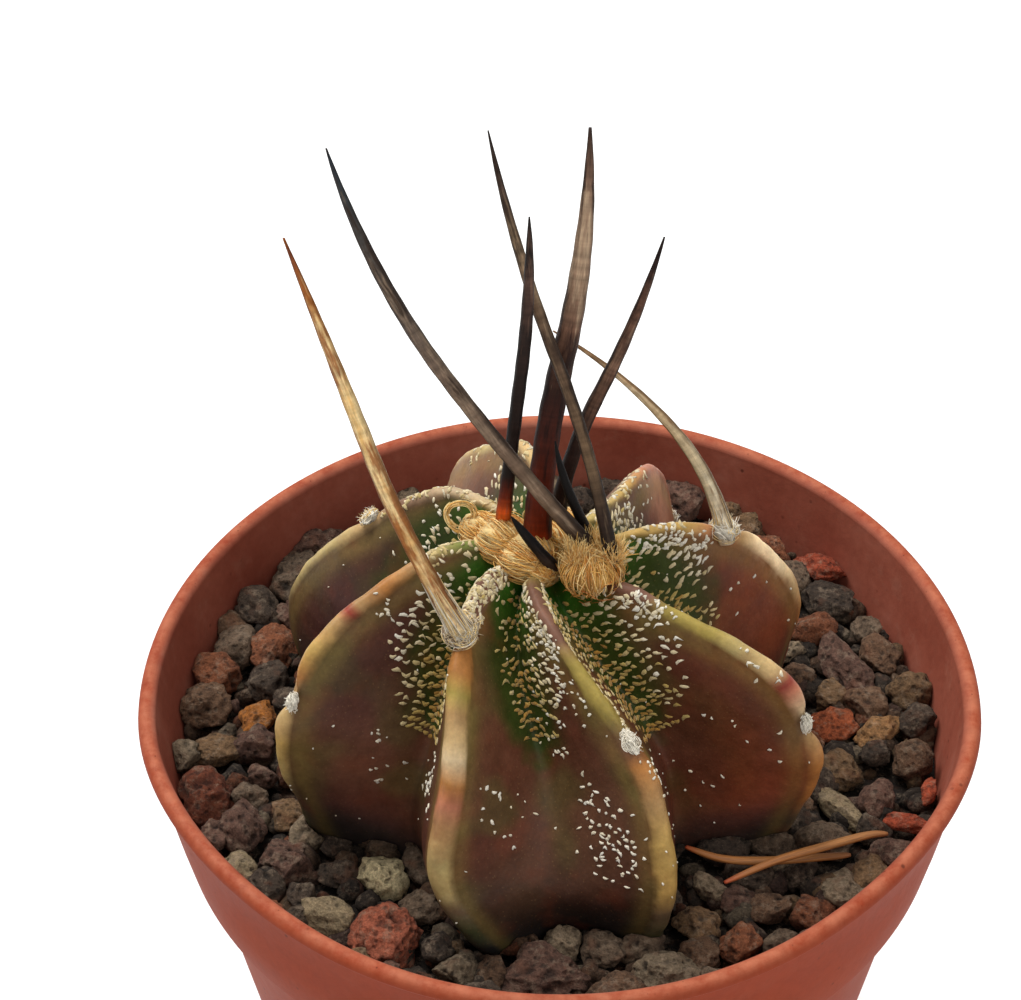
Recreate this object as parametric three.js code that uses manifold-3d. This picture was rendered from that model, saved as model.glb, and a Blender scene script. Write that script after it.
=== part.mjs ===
// A goats horn cactus (Astrophytum capricorne) in its small round plastic pot.
// Millimetres, +Z up. The origin is the centre of the pot's underside, and -Y is the front.
// Every piece is drawn with z = 0 at the top of the rim, and the group is raised by the pot's height.

import * as THREE from "three";
import { ParametricGeometry } from "three/addons/geometries/ParametricGeometry.js";
import { mergeVertices } from "three/addons/utils/BufferGeometryUtils.js";
import Module from "manifold-3d";

const wasm = await Module();
wasm.setup();

// Room left between pieces that touch, and how close two corners are to count as one
const GAP = 0.3;
const WELD_DISTANCE = 1e-4;

// Pot
const POT_HEIGHT = 54;
const RIM_RADIUS = 30;
const LIP_ROUNDING = 0.65;
const LIP_HEIGHT = 0.9;
const LIP_UNDERCUT = 0.15;
const COLLAR_TOP_RADIUS = 29.55;
const COLLAR_FLARE_RADIUS = 28.7;
const COLLAR_FLARE_DEPTH = 5;
const COLLAR_FOOT_RADIUS = 27.8;
const COLLAR_DEPTH = 9.2;
const COLLAR_STEP = 1.3;
const BASE_RADIUS = 20;
const BASE_CHAMFER = 0.7;
const WALL = 0.8;
const FLOOR = 1;
const POT_SIDES = 36;
const DRAIN_HOLES = 4;
const DRAIN_RADIUS = 1.9;
const DRAIN_CIRCLE_RADIUS = 12.5;
const DRAIN_SIDES = 12;
const DRILL_LENGTH = 4;
const CUTTER_RADIUS = 60;

// Potting soil and the layer of lava gravel on it
const SOIL_TOP = -12.3;
const GRAVEL_FOOT = -12;
const GRAVEL_BED_TOP = -6.8;
const GRAVEL_LEVEL = -5.5;
const GRAVEL_WALL_RISE = 0.5;
const GRAVEL_WALL_SLOPE = [18, 27];
const GRAIN_MIN = 1.3;
const GRAIN_MAX = 2.5;
const GRAIN_TRIES = 2500;
const GRAIN_SPACING = 0.73;
const GRAIN_INNERMOST = 13;
const GRAIN_ROUGHNESS = 0.2;
const GRAIN_STRETCH = [[0.9, 1.2], [0.75, 1], [0.65, 0.85]];
const GRAIN_SMALLNESS = 1.6;
const GRAIN_TILT = 30;
const GRAIN_SINK = 0.2;
const GRAIN_SEED = 48;

// The stones in sight: the place, length and width of each, and its turn in degrees
const MARKED_STONES = [
  [-24.2, 8.1, 4.6, 3.4, 80], [-21.4, 8.3, 5.2, 3.7, 90], [-20.5, 16.3, 5.6, 4.2, 100],
  [-25.9, 2.3, 4.4, 4, 10], [-22.2, 1.2, 4.2, 3.2, 80], [-24.9, -2.1, 3.6, 2.8, 20],
  [-21.5, -4.3, 2.6, 2.4, 0], [-25.1, -6.5, 4.6, 4.2, -20], [-22.3, -9, 4.4, 3.9, 70],
  [-19.2, -7.8, 3.4, 3, 90], [-18.7, -12.4, 4.7, 4.3, 60], [-22.2, -13.6, 3.6, 3.3, -50],
  [-19.6, -17.2, 3.2, 2.4, -40], [-12.4, -13.3, 3.9, 3.7, 0], [-15.6, -16.8, 4.6, 3.2, -34],
  [-11.3, -18.9, 5.6, 5.3, 30], [-15.3, -13, 2.8, 2.4, 0], [-9.4, -15.8, 3.2, 2.8, 0],
  [-6.8, -21.5, 3, 2.8, 0], [-4.3, -21.7, 2.8, 2.4, 90], [-0.6, -21.6, 6.2, 4.4, 5],
  [3.2, -19.6, 3.4, 2.8, -20], [7.1, -22.2, 5.4, 3.8, 5], [5.8, -19.4, 3.8, 2.8, 0],
  [9.4, -17.4, 3.2, 3.2, 0], [12.4, -15.5, 2.8, 2.6, 0], [10.4, -14.2, 2.8, 2.4, -30],
  [12.3, -19.2, 3.6, 3.4, 0], [9.5, -20.2, 3, 2.9, 0], [15, -19.3, 3, 2.6, 20],
  [17.2, -16.8, 3.4, 3, 15], [19.4, -14.6, 4.1, 3.5, -20], [14.6, -16, 3.4, 2.8, 10],
  [11.6, -10.8, 3.6, 3, 0], [14.9, -9.9, 4.4, 3.4, -10], [18.6, -10.3, 4.4, 3.4, -20],
  [23.6, -11.4, 4.3, 3.4, 15], [21.5, -13.3, 3, 2.8, 0], [20.3, -7.6, 5.8, 1.9, -48],
  [22.7, -6.5, 3.4, 3.1, 80], [20.1, -3.2, 4, 3.4, -20], [20.2, 1.2, 3.5, 3.4, -20],
  [23.3, 0.4, 4.8, 2.4, 45], [21.4, 7.2, 7.8, 3.7, -70], [24.2, 8, 4.2, 3.4, 80],
  [26, 4.4, 3.8, 3.4, 0], [25.2, -2.6, 3.4, 3.2, 0], [20.8, 13.8, 4.8, 3.4, -30],
  [24.6, -8.6, 3.6, 1.6, -10], [26.2, -5.9, 3, 1.3, 75], [20.2, 17.3, 5.2, 2.4, -45],
  [26.3, 1.1, 3, 2.9, 0], [22.9, -2, 2.8, 2.6, 0],
];
const MARKED_STONE_HEIGHT = 0.8;

// Plant: its axis, and the meridians of a rib's ridge and of the furrow beside it.
// Each pair of points (distance from the axis, height) is one step from the crown to the root tip.
const PLANT_X = -1;
const RIDGE_MERIDIAN = [
  [0, 12.0], [2.5, 13.0], [5.0, 13.8], [8.0, 13.9], [10.5, 12.8], [13.5, 10.9],
  [16.5, 8.3], [19.0, 5.2], [20.8, 1.4], [21.2, -1.8], [20.4, -5.4], [18.0, -9.4],
  [13.2, -13.4], [7.5, -17.2], [3.8, -23.0], [2.2, -31.0], [0, -36.0],
];
const FURROW_MERIDIAN = [
  [0, 12.0], [1.9, 11.7], [3.7, 11.0], [5.8, 9.8], [7.8, 8.0], [9.8, 5.8],
  [11.6, 3.2], [12.9, 0.2], [13.6, -2.8], [13.8, -5.2], [13.6, -7.8], [12.4, -10.6],
  [9.6, -13.7], [6.2, -17.3], [3.6, -23.0], [2.2, -31.0], [0, -36.0],
];
const BODY_ROWS = 24;
const BODY_COLUMNS_PER_RIB = 8;

// The ribs, counted round the plant. azimuth is the ridge's direction at the waist, twist how far
// its inner end lags behind, and reach how far the waist stands out. shoulder is a step and how far
// the ridge is lifted round it. Low down, sway turns the foot, tuck draws it in and fill closes the
// furrow after the rib.
const RIBS = {
  a: { azimuth: -110.3, twist: -29, reach: 0, shoulder: [6, 0], sway: 10.3, tuck: 0, fill: 0.6 },
  b: { azimuth: -66, twist: -36, reach: 0, shoulder: [6, 0], sway: -2.5, tuck: 0, fill: 0 },
  c: { azimuth: -29.7, twist: -18, reach: 0.5, shoulder: [5.9, 2.75], sway: 0, tuck: 1.4, fill: 0 },
  d: { azimuth: 19, twist: -18, reach: -0.8, shoulder: [4.6, 0.5], sway: 0, tuck: 1.7, fill: 0 },
  e: { azimuth: 60.6, twist: -18, reach: -1.8, shoulder: [3.3, -2], sway: 0, tuck: 0.4, fill: 0 },
  f: { azimuth: 111.5, twist: -22, reach: -1.2, shoulder: [3, 1], sway: 0, tuck: 0, fill: 0 },
  g: { azimuth: 155.5, twist: -22, reach: -0.4, shoulder: [6, -0.7], sway: 0, tuck: 0, fill: 0 },
  h: { azimuth: 210, twist: -28, reach: -0.2, shoulder: [5.8, 2.9], sway: 0, tuck: 1.6, fill: 0.1 },
};
const TWIST_INNER_RADIUS = 4;
const TWIST_FADE_LENGTH = 14;
const TWIST_FADE_POWER = 1.5;
const SHOULDER_SPREAD = 1.5;
const WAIST_STEP = 8.5;
const REACH_SPREAD = 2.2;
const FIRST_ROOT_STEP = 12.5;
const FILL_STEPS = [5, 9];
const SWAY_STEPS = [7.5, 10.5];
const TUCK_STEPS = [7.2, 9.4];
const RIDGE_HALF_WIDTH = 1.3;
const RIDGE_ROUNDING_LIMIT = 0.35;
const FLANK_POWER = 1.6;
const COLUMN_CROWDING = 1.35;

// Wool cushions on the areoles: the rib, the step along its ridge, and the radii along the ridge,
// across it and outwards
const WOOL = {
  wool_a: { rib: "a", at: 3.75, radii: [1.8, 1.6, 1.3] },
  wool_b: { rib: "b", at: 5.6, radii: [1.2, 0.9, 0.8] },
  wool_c_young: { rib: "c", at: 1.9, radii: [2.6, 2.3, 1.9] },
  wool_c_old: { rib: "c", at: 6.8, radii: [0.9, 0.8, 0.7] },
  wool_d: { rib: "d", at: 4.75, radii: [1.7, 1.5, 1.1] },
  wool_e: { rib: "e", at: 8.2, radii: [1.0, 0.9, 0.7] },
  wool_f: { rib: "f", at: 8.4, radii: [1.0, 0.9, 0.7] },
  wool_g: { rib: "g", at: 5.3, radii: [1.1, 0.9, 0.7] },
  wool_h: { rib: "h", at: 6.45, radii: [1.0, 0.9, 0.7] },
};
const AHEAD_STEP = 0.2;
const WOOL_SINK = 0.25;
const WOOL_ROUGHNESS = 0.1;
const CROWN_WOOL_FLATNESS = 0.8;
const CROWN_WOOL_SEED = 20;

// The young areoles round the growing point are one band of wool, made of these mounds
const CROWN_WOOL_MOUNDS = [
  { at: [-5.3, 1.4, 13.2], radius: 1.7 },
  { at: [-3.8, 0.3, 13.6], radius: 2.1 },
  { at: [-2.4, -1.0, 13.3], radius: 2.1 },
  { at: [-0.9, -2.2, 13.0], radius: 1.7 },
  { at: [-1.2, 0.6, 12.9], radius: 1.9 },
  { at: [0.1, 2.2, 12.8], radius: 1.7 },
];

// Spines: where each leaves its wool, its headings there, half way and at its tip (azimuth and rise
// in degrees), its length, its width and its colour
const SPINES = {
  spine_a: {
    base: [-6.4, -8.4, 13.4],
    headings: [[179, 66], [163, 74], [164, 73]],
    length: 31.7,
    width: 1.15,
    color: 0xb89a6a,
  },
  spine_c_long: {
    base: [2.4, -2.4, 14.8],
    headings: [[168, 50], [165, 56], [134, 67]],
    length: 33.6,
    width: 1.05,
    color: 0x5a4a42,
  },
  spine_c_thin: {
    base: [3.5, -3.3, 15.2],
    headings: [[125, 74], [133, 59], [111, 54]],
    length: 29.8,
    width: 0.85,
    color: 0x6a5649,
  },
  spine_c_short: {
    base: [2.8, -1.3, 13.7],
    headings: [[173, 63], [170, 71], [154, 82]],
    length: 10,
    width: 0.75,
    color: 0x241a18,
  },
  spine_crown_black: {
    base: [-3.8, 0.8, 14.6],
    headings: [[22, 84], [20, 83], [113, 88]],
    length: 24.7,
    width: 0.9,
    color: 0x33211d,
  },
  spine_crown_thick: {
    base: [-1.5, -0.2, 13.4],
    headings: [[73, 84], [47, 72], [91, 69]],
    length: 30.2,
    width: 1.7,
    color: 0x6b4638,
  },
  spine_crown_banded: {
    base: [-0.2, 1.8, 13],
    headings: [[38, 84], [21, 64], [49, 65]],
    length: 23.3,
    width: 1.05,
    color: 0x3f2b27,
  },
  spine_crown_young: {
    base: [-0.8, -2.5, 14.2],
    headings: [[174, 55], [171, 56], [167, 58]],
    length: 4.3,
    width: 0.8,
    color: 0x1f1917,
  },
  spine_d: {
    base: [11.4, 2.9, 12],
    headings: [[153, 78], [161, 46], [158, 21]],
    length: 19.6,
    width: 1.1,
    color: 0xb3a48c,
  },
};
const SPINE_SIDES = 6;
const SPINE_STEPS = 9;
const SPINE_FLATNESS = 0.72;
const SPINE_ROOT_DEPTH = 1;
const SPINE_ROOT_FLARE = 1.2;
const SPINE_FLARE_SHARPNESS = 5;
const SPINE_TAPER_POWER = 3.5;
const SPINE_TIP_SHARE = 0.12;

// Two dry needle leaves lie on the gravel at the right
const DRY_NEEDLES = {
  dry_needle_straight: [
    [8.8, -11.8, -4.2], [11.2, -12.9, -4.1], [14.1, -13.1, -4.1],
    [18.3, -12.8, -4.0], [20.1, -12.6, -4.0],
  ],
  dry_needle_bent: [
    [11.3, -15.2, -3.9], [14.9, -13.8, -3.2], [18.3, -12.7, -3.0],
    [21.3, -11.6, -3.1], [22.7, -11.3, -3.3],
  ],
};
const NEEDLE_WIDTH = 0.8;
const NEEDLE_THICKNESS = 0.6;
const NEEDLE_STEPS = 10;
const NEEDLE_CURVE_SEGMENTS = 4;

const radians = THREE.MathUtils.degToRad;
const { lerp, smoothstep } = THREE.MathUtils;

// A repeatable stream of numbers from 0 to 1
function seededRandom(seed) {
  let state = seed;
  return () => {
    state = (state + 0x6d2b79f5) | 0;
    let mixed = Math.imul(state ^ (state >>> 15), 1 | state);
    mixed = (mixed + Math.imul(mixed ^ (mixed >>> 7), 61 | mixed)) ^ mixed;
    return ((mixed ^ (mixed >>> 14)) >>> 0) / 2 ** 32;
  };
}

// Six times the volume that a geometry encloses, negative where its faces point inwards
function enclosed(geometry) {
  const position = geometry.getAttribute("position");
  const corners = geometry.index.array;
  const [a, b, c] = [new THREE.Vector3(), new THREE.Vector3(), new THREE.Vector3()];
  let volume = 0;
  for (let i = 0; i < corners.length; i += 3) {
    a.fromBufferAttribute(position, corners[i]);
    b.fromBufferAttribute(position, corners[i + 1]);
    c.fromBufferAttribute(position, corners[i + 2]);
    volume += a.dot(b.cross(c));
  }
  return volume;
}

// The same surface with its shared corners merged, its empty faces dropped and its faces outwards
function welded(geometry) {
  const bare = new THREE.BufferGeometry();
  bare.setAttribute("position", geometry.getAttribute("position").clone());
  bare.setIndex(geometry.index ? geometry.index.clone() : null);
  const merged = mergeVertices(bare, WELD_DISTANCE);
  const corners = merged.index.array;
  const kept = [];
  for (let i = 0; i < corners.length; i += 3) {
    const [a, b, c] = corners.slice(i, i + 3);
    if (a !== b && b !== c && c !== a) kept.push(a, b, c);
  }
  merged.setIndex(kept);
  if (enclosed(merged) < 0) merged.setIndex(kept.reverse());
  return merged;
}

function solidOf(geometry) {
  const surface = welded(geometry);
  const vertProperties = new Float32Array(surface.getAttribute("position").array);
  const triVerts = new Uint32Array(surface.index.array);
  return new wasm.Manifold(new wasm.Mesh({ numProp: 3, vertProperties, triVerts }));
}

// The room that a piece needs: its surface moved outwards by the gap
function roomFor(geometry) {
  const surface = welded(geometry);
  surface.computeVertexNormals();
  const position = surface.getAttribute("position");
  const normal = surface.getAttribute("normal");
  for (let i = 0; i < position.count; i += 1) {
    const point = new THREE.Vector3().fromBufferAttribute(position, i);
    point.addScaledVector(new THREE.Vector3().fromBufferAttribute(normal, i), GAP);
    position.setXYZ(i, point.x, point.y, point.z);
  }
  return solidOf(surface);
}

// A solid with the room for other pieces taken out
function hollowed(solid, rooms) {
  return rooms.reduce((left, room) => left.subtract(room), solid);
}

// The geometry of a solid's largest piece, with any loose scrap left by a cut dropped
function geometryOf(solid) {
  const pieces = solid.decompose();
  const main = pieces.reduce((best, piece) => (piece.volume() > best.volume() ? piece : best));
  const mesh = main.getMesh();
  const geometry = new THREE.BufferGeometry();
  geometry.setAttribute("position", new THREE.BufferAttribute(mesh.vertProperties, 3));
  geometry.setIndex(new THREE.BufferAttribute(mesh.triVerts, 1));
  geometry.computeVertexNormals();
  return geometry;
}

// A turned solid from a profile of (radius, height) points that starts and ends on the axis
function turned(profile) {
  const points = profile.map(([radius, height]) => new THREE.Vector2(radius, height));
  return solidOf(new THREE.LatheGeometry(points, POT_SIDES).rotateX(Math.PI / 2));
}

function outerWall() {
  const lip = [];
  for (let degrees = 0; degrees <= 180; degrees += 45) {
    const turn = radians(degrees);
    const radius = RIM_RADIUS - LIP_ROUNDING * (1 - Math.cos(turn));
    lip.push([radius, LIP_ROUNDING * (Math.sin(turn) - 1)]);
  }
  return [
    [BASE_RADIUS - BASE_CHAMFER, -POT_HEIGHT],
    [BASE_RADIUS, BASE_CHAMFER - POT_HEIGHT],
    [COLLAR_FOOT_RADIUS - COLLAR_STEP, -COLLAR_DEPTH - COLLAR_STEP],
    [COLLAR_FOOT_RADIUS, -COLLAR_DEPTH],
    [COLLAR_FLARE_RADIUS, -COLLAR_FLARE_DEPTH],
    [COLLAR_TOP_RADIUS, -LIP_HEIGHT - LIP_UNDERCUT],
    [RIM_RADIUS - LIP_UNDERCUT, -LIP_HEIGHT],
    ...lip,
  ];
}

// The pot's inner wall from the lip down to the floor, moved inwards by a clearance
function innerWall(clearance = 0) {
  const inset = WALL + clearance;
  return [
    [COLLAR_FLARE_RADIUS - inset, -COLLAR_FLARE_DEPTH],
    [COLLAR_FOOT_RADIUS - inset, -COLLAR_DEPTH],
    [COLLAR_FOOT_RADIUS - COLLAR_STEP - inset, -COLLAR_DEPTH - COLLAR_STEP],
    [BASE_RADIUS - inset, BASE_CHAMFER - POT_HEIGHT + FLOOR],
  ];
}

function pot() {
  const floorTop = FLOOR - POT_HEIGHT;
  const floorCorner = [BASE_RADIUS - WALL - BASE_CHAMFER, floorTop];
  let solid = turned([[0, -POT_HEIGHT], ...outerWall(), ...innerWall(), floorCorner, [0, floorTop]]);
  for (let hole = 0; hole < DRAIN_HOLES; hole += 1) {
    const turn = (2 * Math.PI * (hole + 0.5)) / DRAIN_HOLES;
    const [x, y] = [DRAIN_CIRCLE_RADIUS * Math.cos(turn), DRAIN_CIRCLE_RADIUS * Math.sin(turn)];
    const drill = new THREE.CylinderGeometry(DRAIN_RADIUS, DRAIN_RADIUS, DRILL_LENGTH, DRAIN_SIDES);
    solid = solid.subtract(solidOf(drill.rotateX(Math.PI / 2).translate(x, y, -POT_HEIGHT)));
  }
  return solid;
}

// What fits inside the pot, clear of its wall, up to the rim
function potInside() {
  const wall = innerWall(GAP).reverse();
  const floor = FLOOR + GAP - POT_HEIGHT;
  const mouth = COLLAR_TOP_RADIUS - WALL - GAP;
  return turned([[0, floor], [wall[0][0] - BASE_CHAMFER, floor], ...wall, [mouth, 0], [0, 0]]);
}

// A flat round slab between two heights, wider than the pot
function slab(bottom, top) {
  const disc = new THREE.CylinderGeometry(CUTTER_RADIUS, CUTTER_RADIUS, top - bottom, POT_SIDES);
  return solidOf(disc.rotateX(Math.PI / 2).translate(0, 0, (top + bottom) / 2));
}

const ridgeCurve = new THREE.SplineCurve(RIDGE_MERIDIAN.map(([r, z]) => new THREE.Vector2(r, z)));
const furrowCurve = new THREE.SplineCurve(FURROW_MERIDIAN.map(([r, z]) => new THREE.Vector2(r, z)));
const LAST_STEP = RIDGE_MERIDIAN.length - 1;
const ribList = Object.values(RIBS);

function bell(distance, spread) {
  return Math.exp(-((distance / spread) ** 2));
}

// How much of the twist is left at a distance from the axis
function twistShare(radius, step) {
  if (step >= WAIST_STEP) return 0;
  const left = 1 - (radius - TWIST_INNER_RADIUS) / TWIST_FADE_LENGTH;
  return THREE.MathUtils.clamp(left, 0, 1) ** TWIST_FADE_POWER;
}

// A rib's ridge at a step: its distance from the axis, height and azimuth in radians
function ridgeAt(rib, step) {
  const [shoulderStep, shoulderHeight] = rib.shoulder;
  const point = ridgeCurve.getPoint(step / LAST_STEP);
  const outward = point.clone().normalize();
  const share = twistShare(point.x, step);
  point.addScaledVector(outward, shoulderHeight * bell(step - shoulderStep, SHOULDER_SPREAD));
  point.x += rib.reach * bell(step - WAIST_STEP, REACH_SPREAD);
  if (step < FIRST_ROOT_STEP) point.x -= rib.tuck * smoothstep(step, ...TUCK_STEPS);
  const sway = rib.sway * smoothstep(step, ...SWAY_STEPS);
  return { radius: point.x, height: point.y, azimuth: radians(rib.azimuth + rib.twist * share + sway) };
}

// The furrow after a rib, at a step
function furrowAt(rib, nextRib, step) {
  const point = furrowCurve.getPoint(step / LAST_STEP);
  const here = ridgeAt(rib, step);
  const next = ridgeAt(nextRib, step);
  const fill = rib.fill * smoothstep(step, ...FILL_STEPS);
  const fullTurn = nextRib === ribList[0] ? 2 * Math.PI : 0;
  const ridgeRadius = (here.radius + next.radius) / 2;
  const ridgeHeight = (here.height + next.height) / 2;
  return {
    radius: lerp(point.x, ridgeRadius, fill),
    height: lerp(point.y, ridgeHeight, fill),
    azimuth: (here.azimuth + next.azimuth + fullTurn) / 2,
  };
}

// How far out a flank stands, from 1 on the ridge to 0 in the furrow, for a share of the way down
function flankShare(share, radius) {
  const halfArc = Math.max((radius * Math.PI) / ribList.length, WELD_DISTANCE);
  const rounding = Math.min(RIDGE_HALF_WIDTH / 2 / halfArc, RIDGE_ROUNDING_LIMIT);
  const softened = Math.hypot(share, rounding) - rounding;
  const furthest = Math.hypot(1, rounding) - rounding;
  return (1 - softened / furthest) ** FLANK_POWER;
}

// The plant's surface. around runs from 0 to 1 round the axis, down from 0 to 1 along the meridian.
function plantPoint(around, down, target) {
  const step = down * LAST_STEP;
  const turn = (around % 1) * ribList.length;
  const index = Math.floor(turn);
  const rib = ribList[index];
  const previousRib = ribList[(index + ribList.length - 1) % ribList.length];
  const nextRib = ribList[(index + 1) % ribList.length];
  const side = 2 * (turn - index) - 1;
  const ridge = ridgeAt(rib, step);
  const furrow = side > 0 ? furrowAt(rib, nextRib, step) : furrowAt(previousRib, rib, step);
  if (side <= 0 && index === 0) furrow.azimuth -= 2 * Math.PI;
  const share = Math.abs(side) ** COLUMN_CROWDING;
  const out = flankShare(share, ridge.radius);
  const radius = lerp(furrow.radius, ridge.radius, out);
  const height = lerp(furrow.height, ridge.height, out);
  const azimuth = lerp(ridge.azimuth, furrow.azimuth, share);
  target.set(PLANT_X + radius * Math.cos(azimuth), radius * Math.sin(azimuth), height);
}

// A ball of triangles whose corners are pushed in and out by a share of its radius
function roughBall(detail, roughness, random) {
  const ball = welded(new THREE.IcosahedronGeometry(1, detail));
  const position = ball.getAttribute("position");
  for (let i = 0; i < position.count; i += 1) {
    const swell = 1 + roughness * (2 * random() - 1);
    position.setXYZ(i, position.getX(i) * swell, position.getY(i) * swell, position.getZ(i) * swell);
  }
  return ball;
}

function lump(radii, seed) {
  return roughBall(1, WOOL_ROUGHNESS, seededRandom(seed)).scale(...radii);
}

// The wool on one areole, set across its ridge
function areoleWool({ rib, at, radii }, seed) {
  const ridge = ridgeAt(RIBS[rib], at);
  const ahead = ridgeAt(RIBS[rib], at + AHEAD_STEP);
  const place = ({ radius, height, azimuth }) =>
    new THREE.Vector3(PLANT_X + radius * Math.cos(azimuth), radius * Math.sin(azimuth), height);
  const centre = place(ridge);
  const along = place(ahead).sub(centre).normalize();
  const across = new THREE.Vector3(-Math.sin(ridge.azimuth), Math.cos(ridge.azimuth), 0);
  across.addScaledVector(along, -across.dot(along)).normalize();
  const outward = new THREE.Vector3().crossVectors(along, across);
  if (outward.z < 0) outward.negate();
  across.crossVectors(outward, along);
  const frame = new THREE.Matrix4().makeBasis(along, across, outward);
  frame.setPosition(centre.addScaledVector(outward, radii[2] * WOOL_SINK));
  return lump(radii, seed).applyMatrix4(frame);
}

function headingVector([azimuth, rise]) {
  const turn = radians(azimuth);
  const flat = Math.cos(radians(rise));
  return new THREE.Vector3(Math.cos(turn) * flat, Math.sin(turn) * flat, Math.sin(radians(rise)));
}

// A spine's centre line, from its root below the wool to its tip
function spineRoute({ base, headings, length }) {
  const [first, middle, last] = headings.map(headingVector);
  const start = new THREE.Vector3(...base);
  const route = [start.clone().addScaledVector(first, -SPINE_ROOT_DEPTH), start];
  for (let i = 0; i < SPINE_STEPS; i += 1) {
    const way = (2 * (i + 0.5)) / SPINE_STEPS;
    const heading = way < 1 ? first.clone().lerp(middle, way) : middle.clone().lerp(last, way - 1);
    route.push(route.at(-1).clone().addScaledVector(heading.normalize(), length / SPINE_STEPS));
  }
  return route;
}

// A horn-like spine: a tapering tube of flattened section that ends in a point
function spineGeometry(spine) {
  const route = spineRoute(spine);
  const lastRow = route.length - 1;
  const chord = route[lastRow].clone().sub(route[0]).normalize();
  const side = new THREE.Vector3(0, -1, 0).cross(chord).normalize();
  const tube = new THREE.CylinderGeometry(1, 1, 1, SPINE_SIDES, lastRow).rotateX(Math.PI / 2);
  const position = tube.getAttribute("position");
  for (let i = 0; i < position.count; i += 1) {
    const corner = new THREE.Vector3().fromBufferAttribute(position, i);
    const row = Math.round((corner.z + 0.5) * lastRow);
    const [before, after] = [route[Math.max(row - 1, 0)], route[Math.min(row + 1, lastRow)]];
    const forward = after.clone().sub(before).normalize();
    const across = side.clone().addScaledVector(forward, -side.dot(forward)).normalize();
    const deep = new THREE.Vector3().crossVectors(forward, across);
    const way = Math.max(row - 1, 0) / SPINE_STEPS;
    const flare = lerp(SPINE_ROOT_FLARE, 1, Math.min(way * SPINE_FLARE_SHARPNESS, 1));
    const half = (spine.width / 2) * lerp(1, SPINE_TIP_SHARE, way ** SPINE_TAPER_POWER) * flare;
    const spot = route[row].clone().addScaledVector(across, corner.x * half);
    spot.addScaledVector(deep, corner.y * half * SPINE_FLATNESS);
    position.setXYZ(i, spot.x, spot.y, spot.z);
  }
  return tube;
}

// A dry needle leaf: a flat strip along a bent route
function needleGeometry(stops) {
  const route = new THREE.CatmullRomCurve3(stops.map((stop) => new THREE.Vector3(...stop)));
  const section = new THREE.Shape();
  section.absellipse(0, 0, NEEDLE_THICKNESS / 2, NEEDLE_WIDTH / 2, 0, 2 * Math.PI, false, 0);
  const options = { steps: NEEDLE_STEPS, curveSegments: NEEDLE_CURVE_SEGMENTS, extrudePath: route };
  return new THREE.ExtrudeGeometry(section, options);
}

// The gravel's surface rises a little towards the wall
function gravelLevel(x, y) {
  return GRAVEL_LEVEL + GRAVEL_WALL_RISE * smoothstep(Math.hypot(x, y), ...GRAVEL_WALL_SLOPE);
}

// A broken stone, partly sunk into the bed
function stoneSolid({ x, y, length, width, height, spin, tilt }, random) {
  const stone = roughBall(0, GRAIN_ROUGHNESS, random).scale(length / 2, width / 2, height / 2);
  stone.rotateZ(radians(spin)).rotateX(radians(tilt));
  return solidOf(stone.translate(x, y, gravelLevel(x, y) - (GRAIN_SINK * height) / 2));
}

// Places for the stones: the marked ones first, then a seeded draw that keeps them apart
function stonePlaces(random) {
  const places = MARKED_STONES.map(([x, y, length, width, spin]) => {
    return { x, y, length, width, height: MARKED_STONE_HEIGHT * width, spin, tilt: 0 };
  });
  const outermost = COLLAR_FLARE_RADIUS - WALL - GRAIN_MIN / 2;
  const reach = ({ length, width }) => (length + width) / 4;
  for (let i = 0; i < GRAIN_TRIES; i += 1) {
    const distance = Math.sqrt(lerp(GRAIN_INNERMOST ** 2, outermost ** 2, random()));
    const turn = 2 * Math.PI * random();
    const size = 2 * lerp(GRAIN_MIN, GRAIN_MAX, random() ** GRAIN_SMALLNESS);
    const [length, width, height] = GRAIN_STRETCH.map((range) => size * lerp(...range, random()));
    const [x, y] = [distance * Math.cos(turn), distance * Math.sin(turn)];
    const stone = { x, y, length, width, height, spin: 360 * random(), tilt: GRAIN_TILT * random() };
    const crowds = (other) =>
      Math.hypot(other.x - x, other.y - y) < GRAIN_SPACING * (reach(other) + reach(stone));
    if (!places.some(crowds)) places.push(stone);
  }
  return places;
}

function gravel() {
  const random = seededRandom(GRAIN_SEED);
  let bed = slab(GRAVEL_FOOT, GRAVEL_BED_TOP);
  for (const place of stonePlaces(random)) bed = bed.add(stoneSolid(place, random));
  return bed.intersect(potInside());
}

const root = new THREE.Group();
root.position.z = POT_HEIGHT;

function mapValues(table, make) {
  return Object.fromEntries(Object.entries(table).map(([name, value], i) => [name, make(value, i)]));
}

function addPiece(name, solid, color, roughness) {
  const material = new THREE.MeshStandardMaterial({ color, roughness, metalness: 0 });
  const mesh = new THREE.Mesh(geometryOf(solid), material);
  mesh.name = name;
  root.add(mesh);
}

// Spines, and the room that each needs in the wool and the plant
const spineShapes = mapValues(SPINES, spineGeometry);
const spineRooms = Object.values(spineShapes).map(roomFor);

// Wool: one lump on each older areole, and a band of mounds round the growing point
const woolShapes = mapValues(WOOL, (wool, i) => [areoleWool(wool, i + 1)]);
woolShapes.wool_crown = CROWN_WOOL_MOUNDS.map(({ at, radius }, i) =>
  lump([radius, radius, CROWN_WOOL_FLATNESS * radius], CROWN_WOOL_SEED + i).translate(...at));

// The plant, with room for its wool and its spines
const plantShape = new ParametricGeometry(plantPoint, BODY_COLUMNS_PER_RIB * ribList.length, BODY_ROWS);
const woolRooms = Object.values(woolShapes).flat().map(roomFor);
const plant = hollowed(solidOf(plantShape), [...spineRooms, ...woolRooms]);

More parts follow.
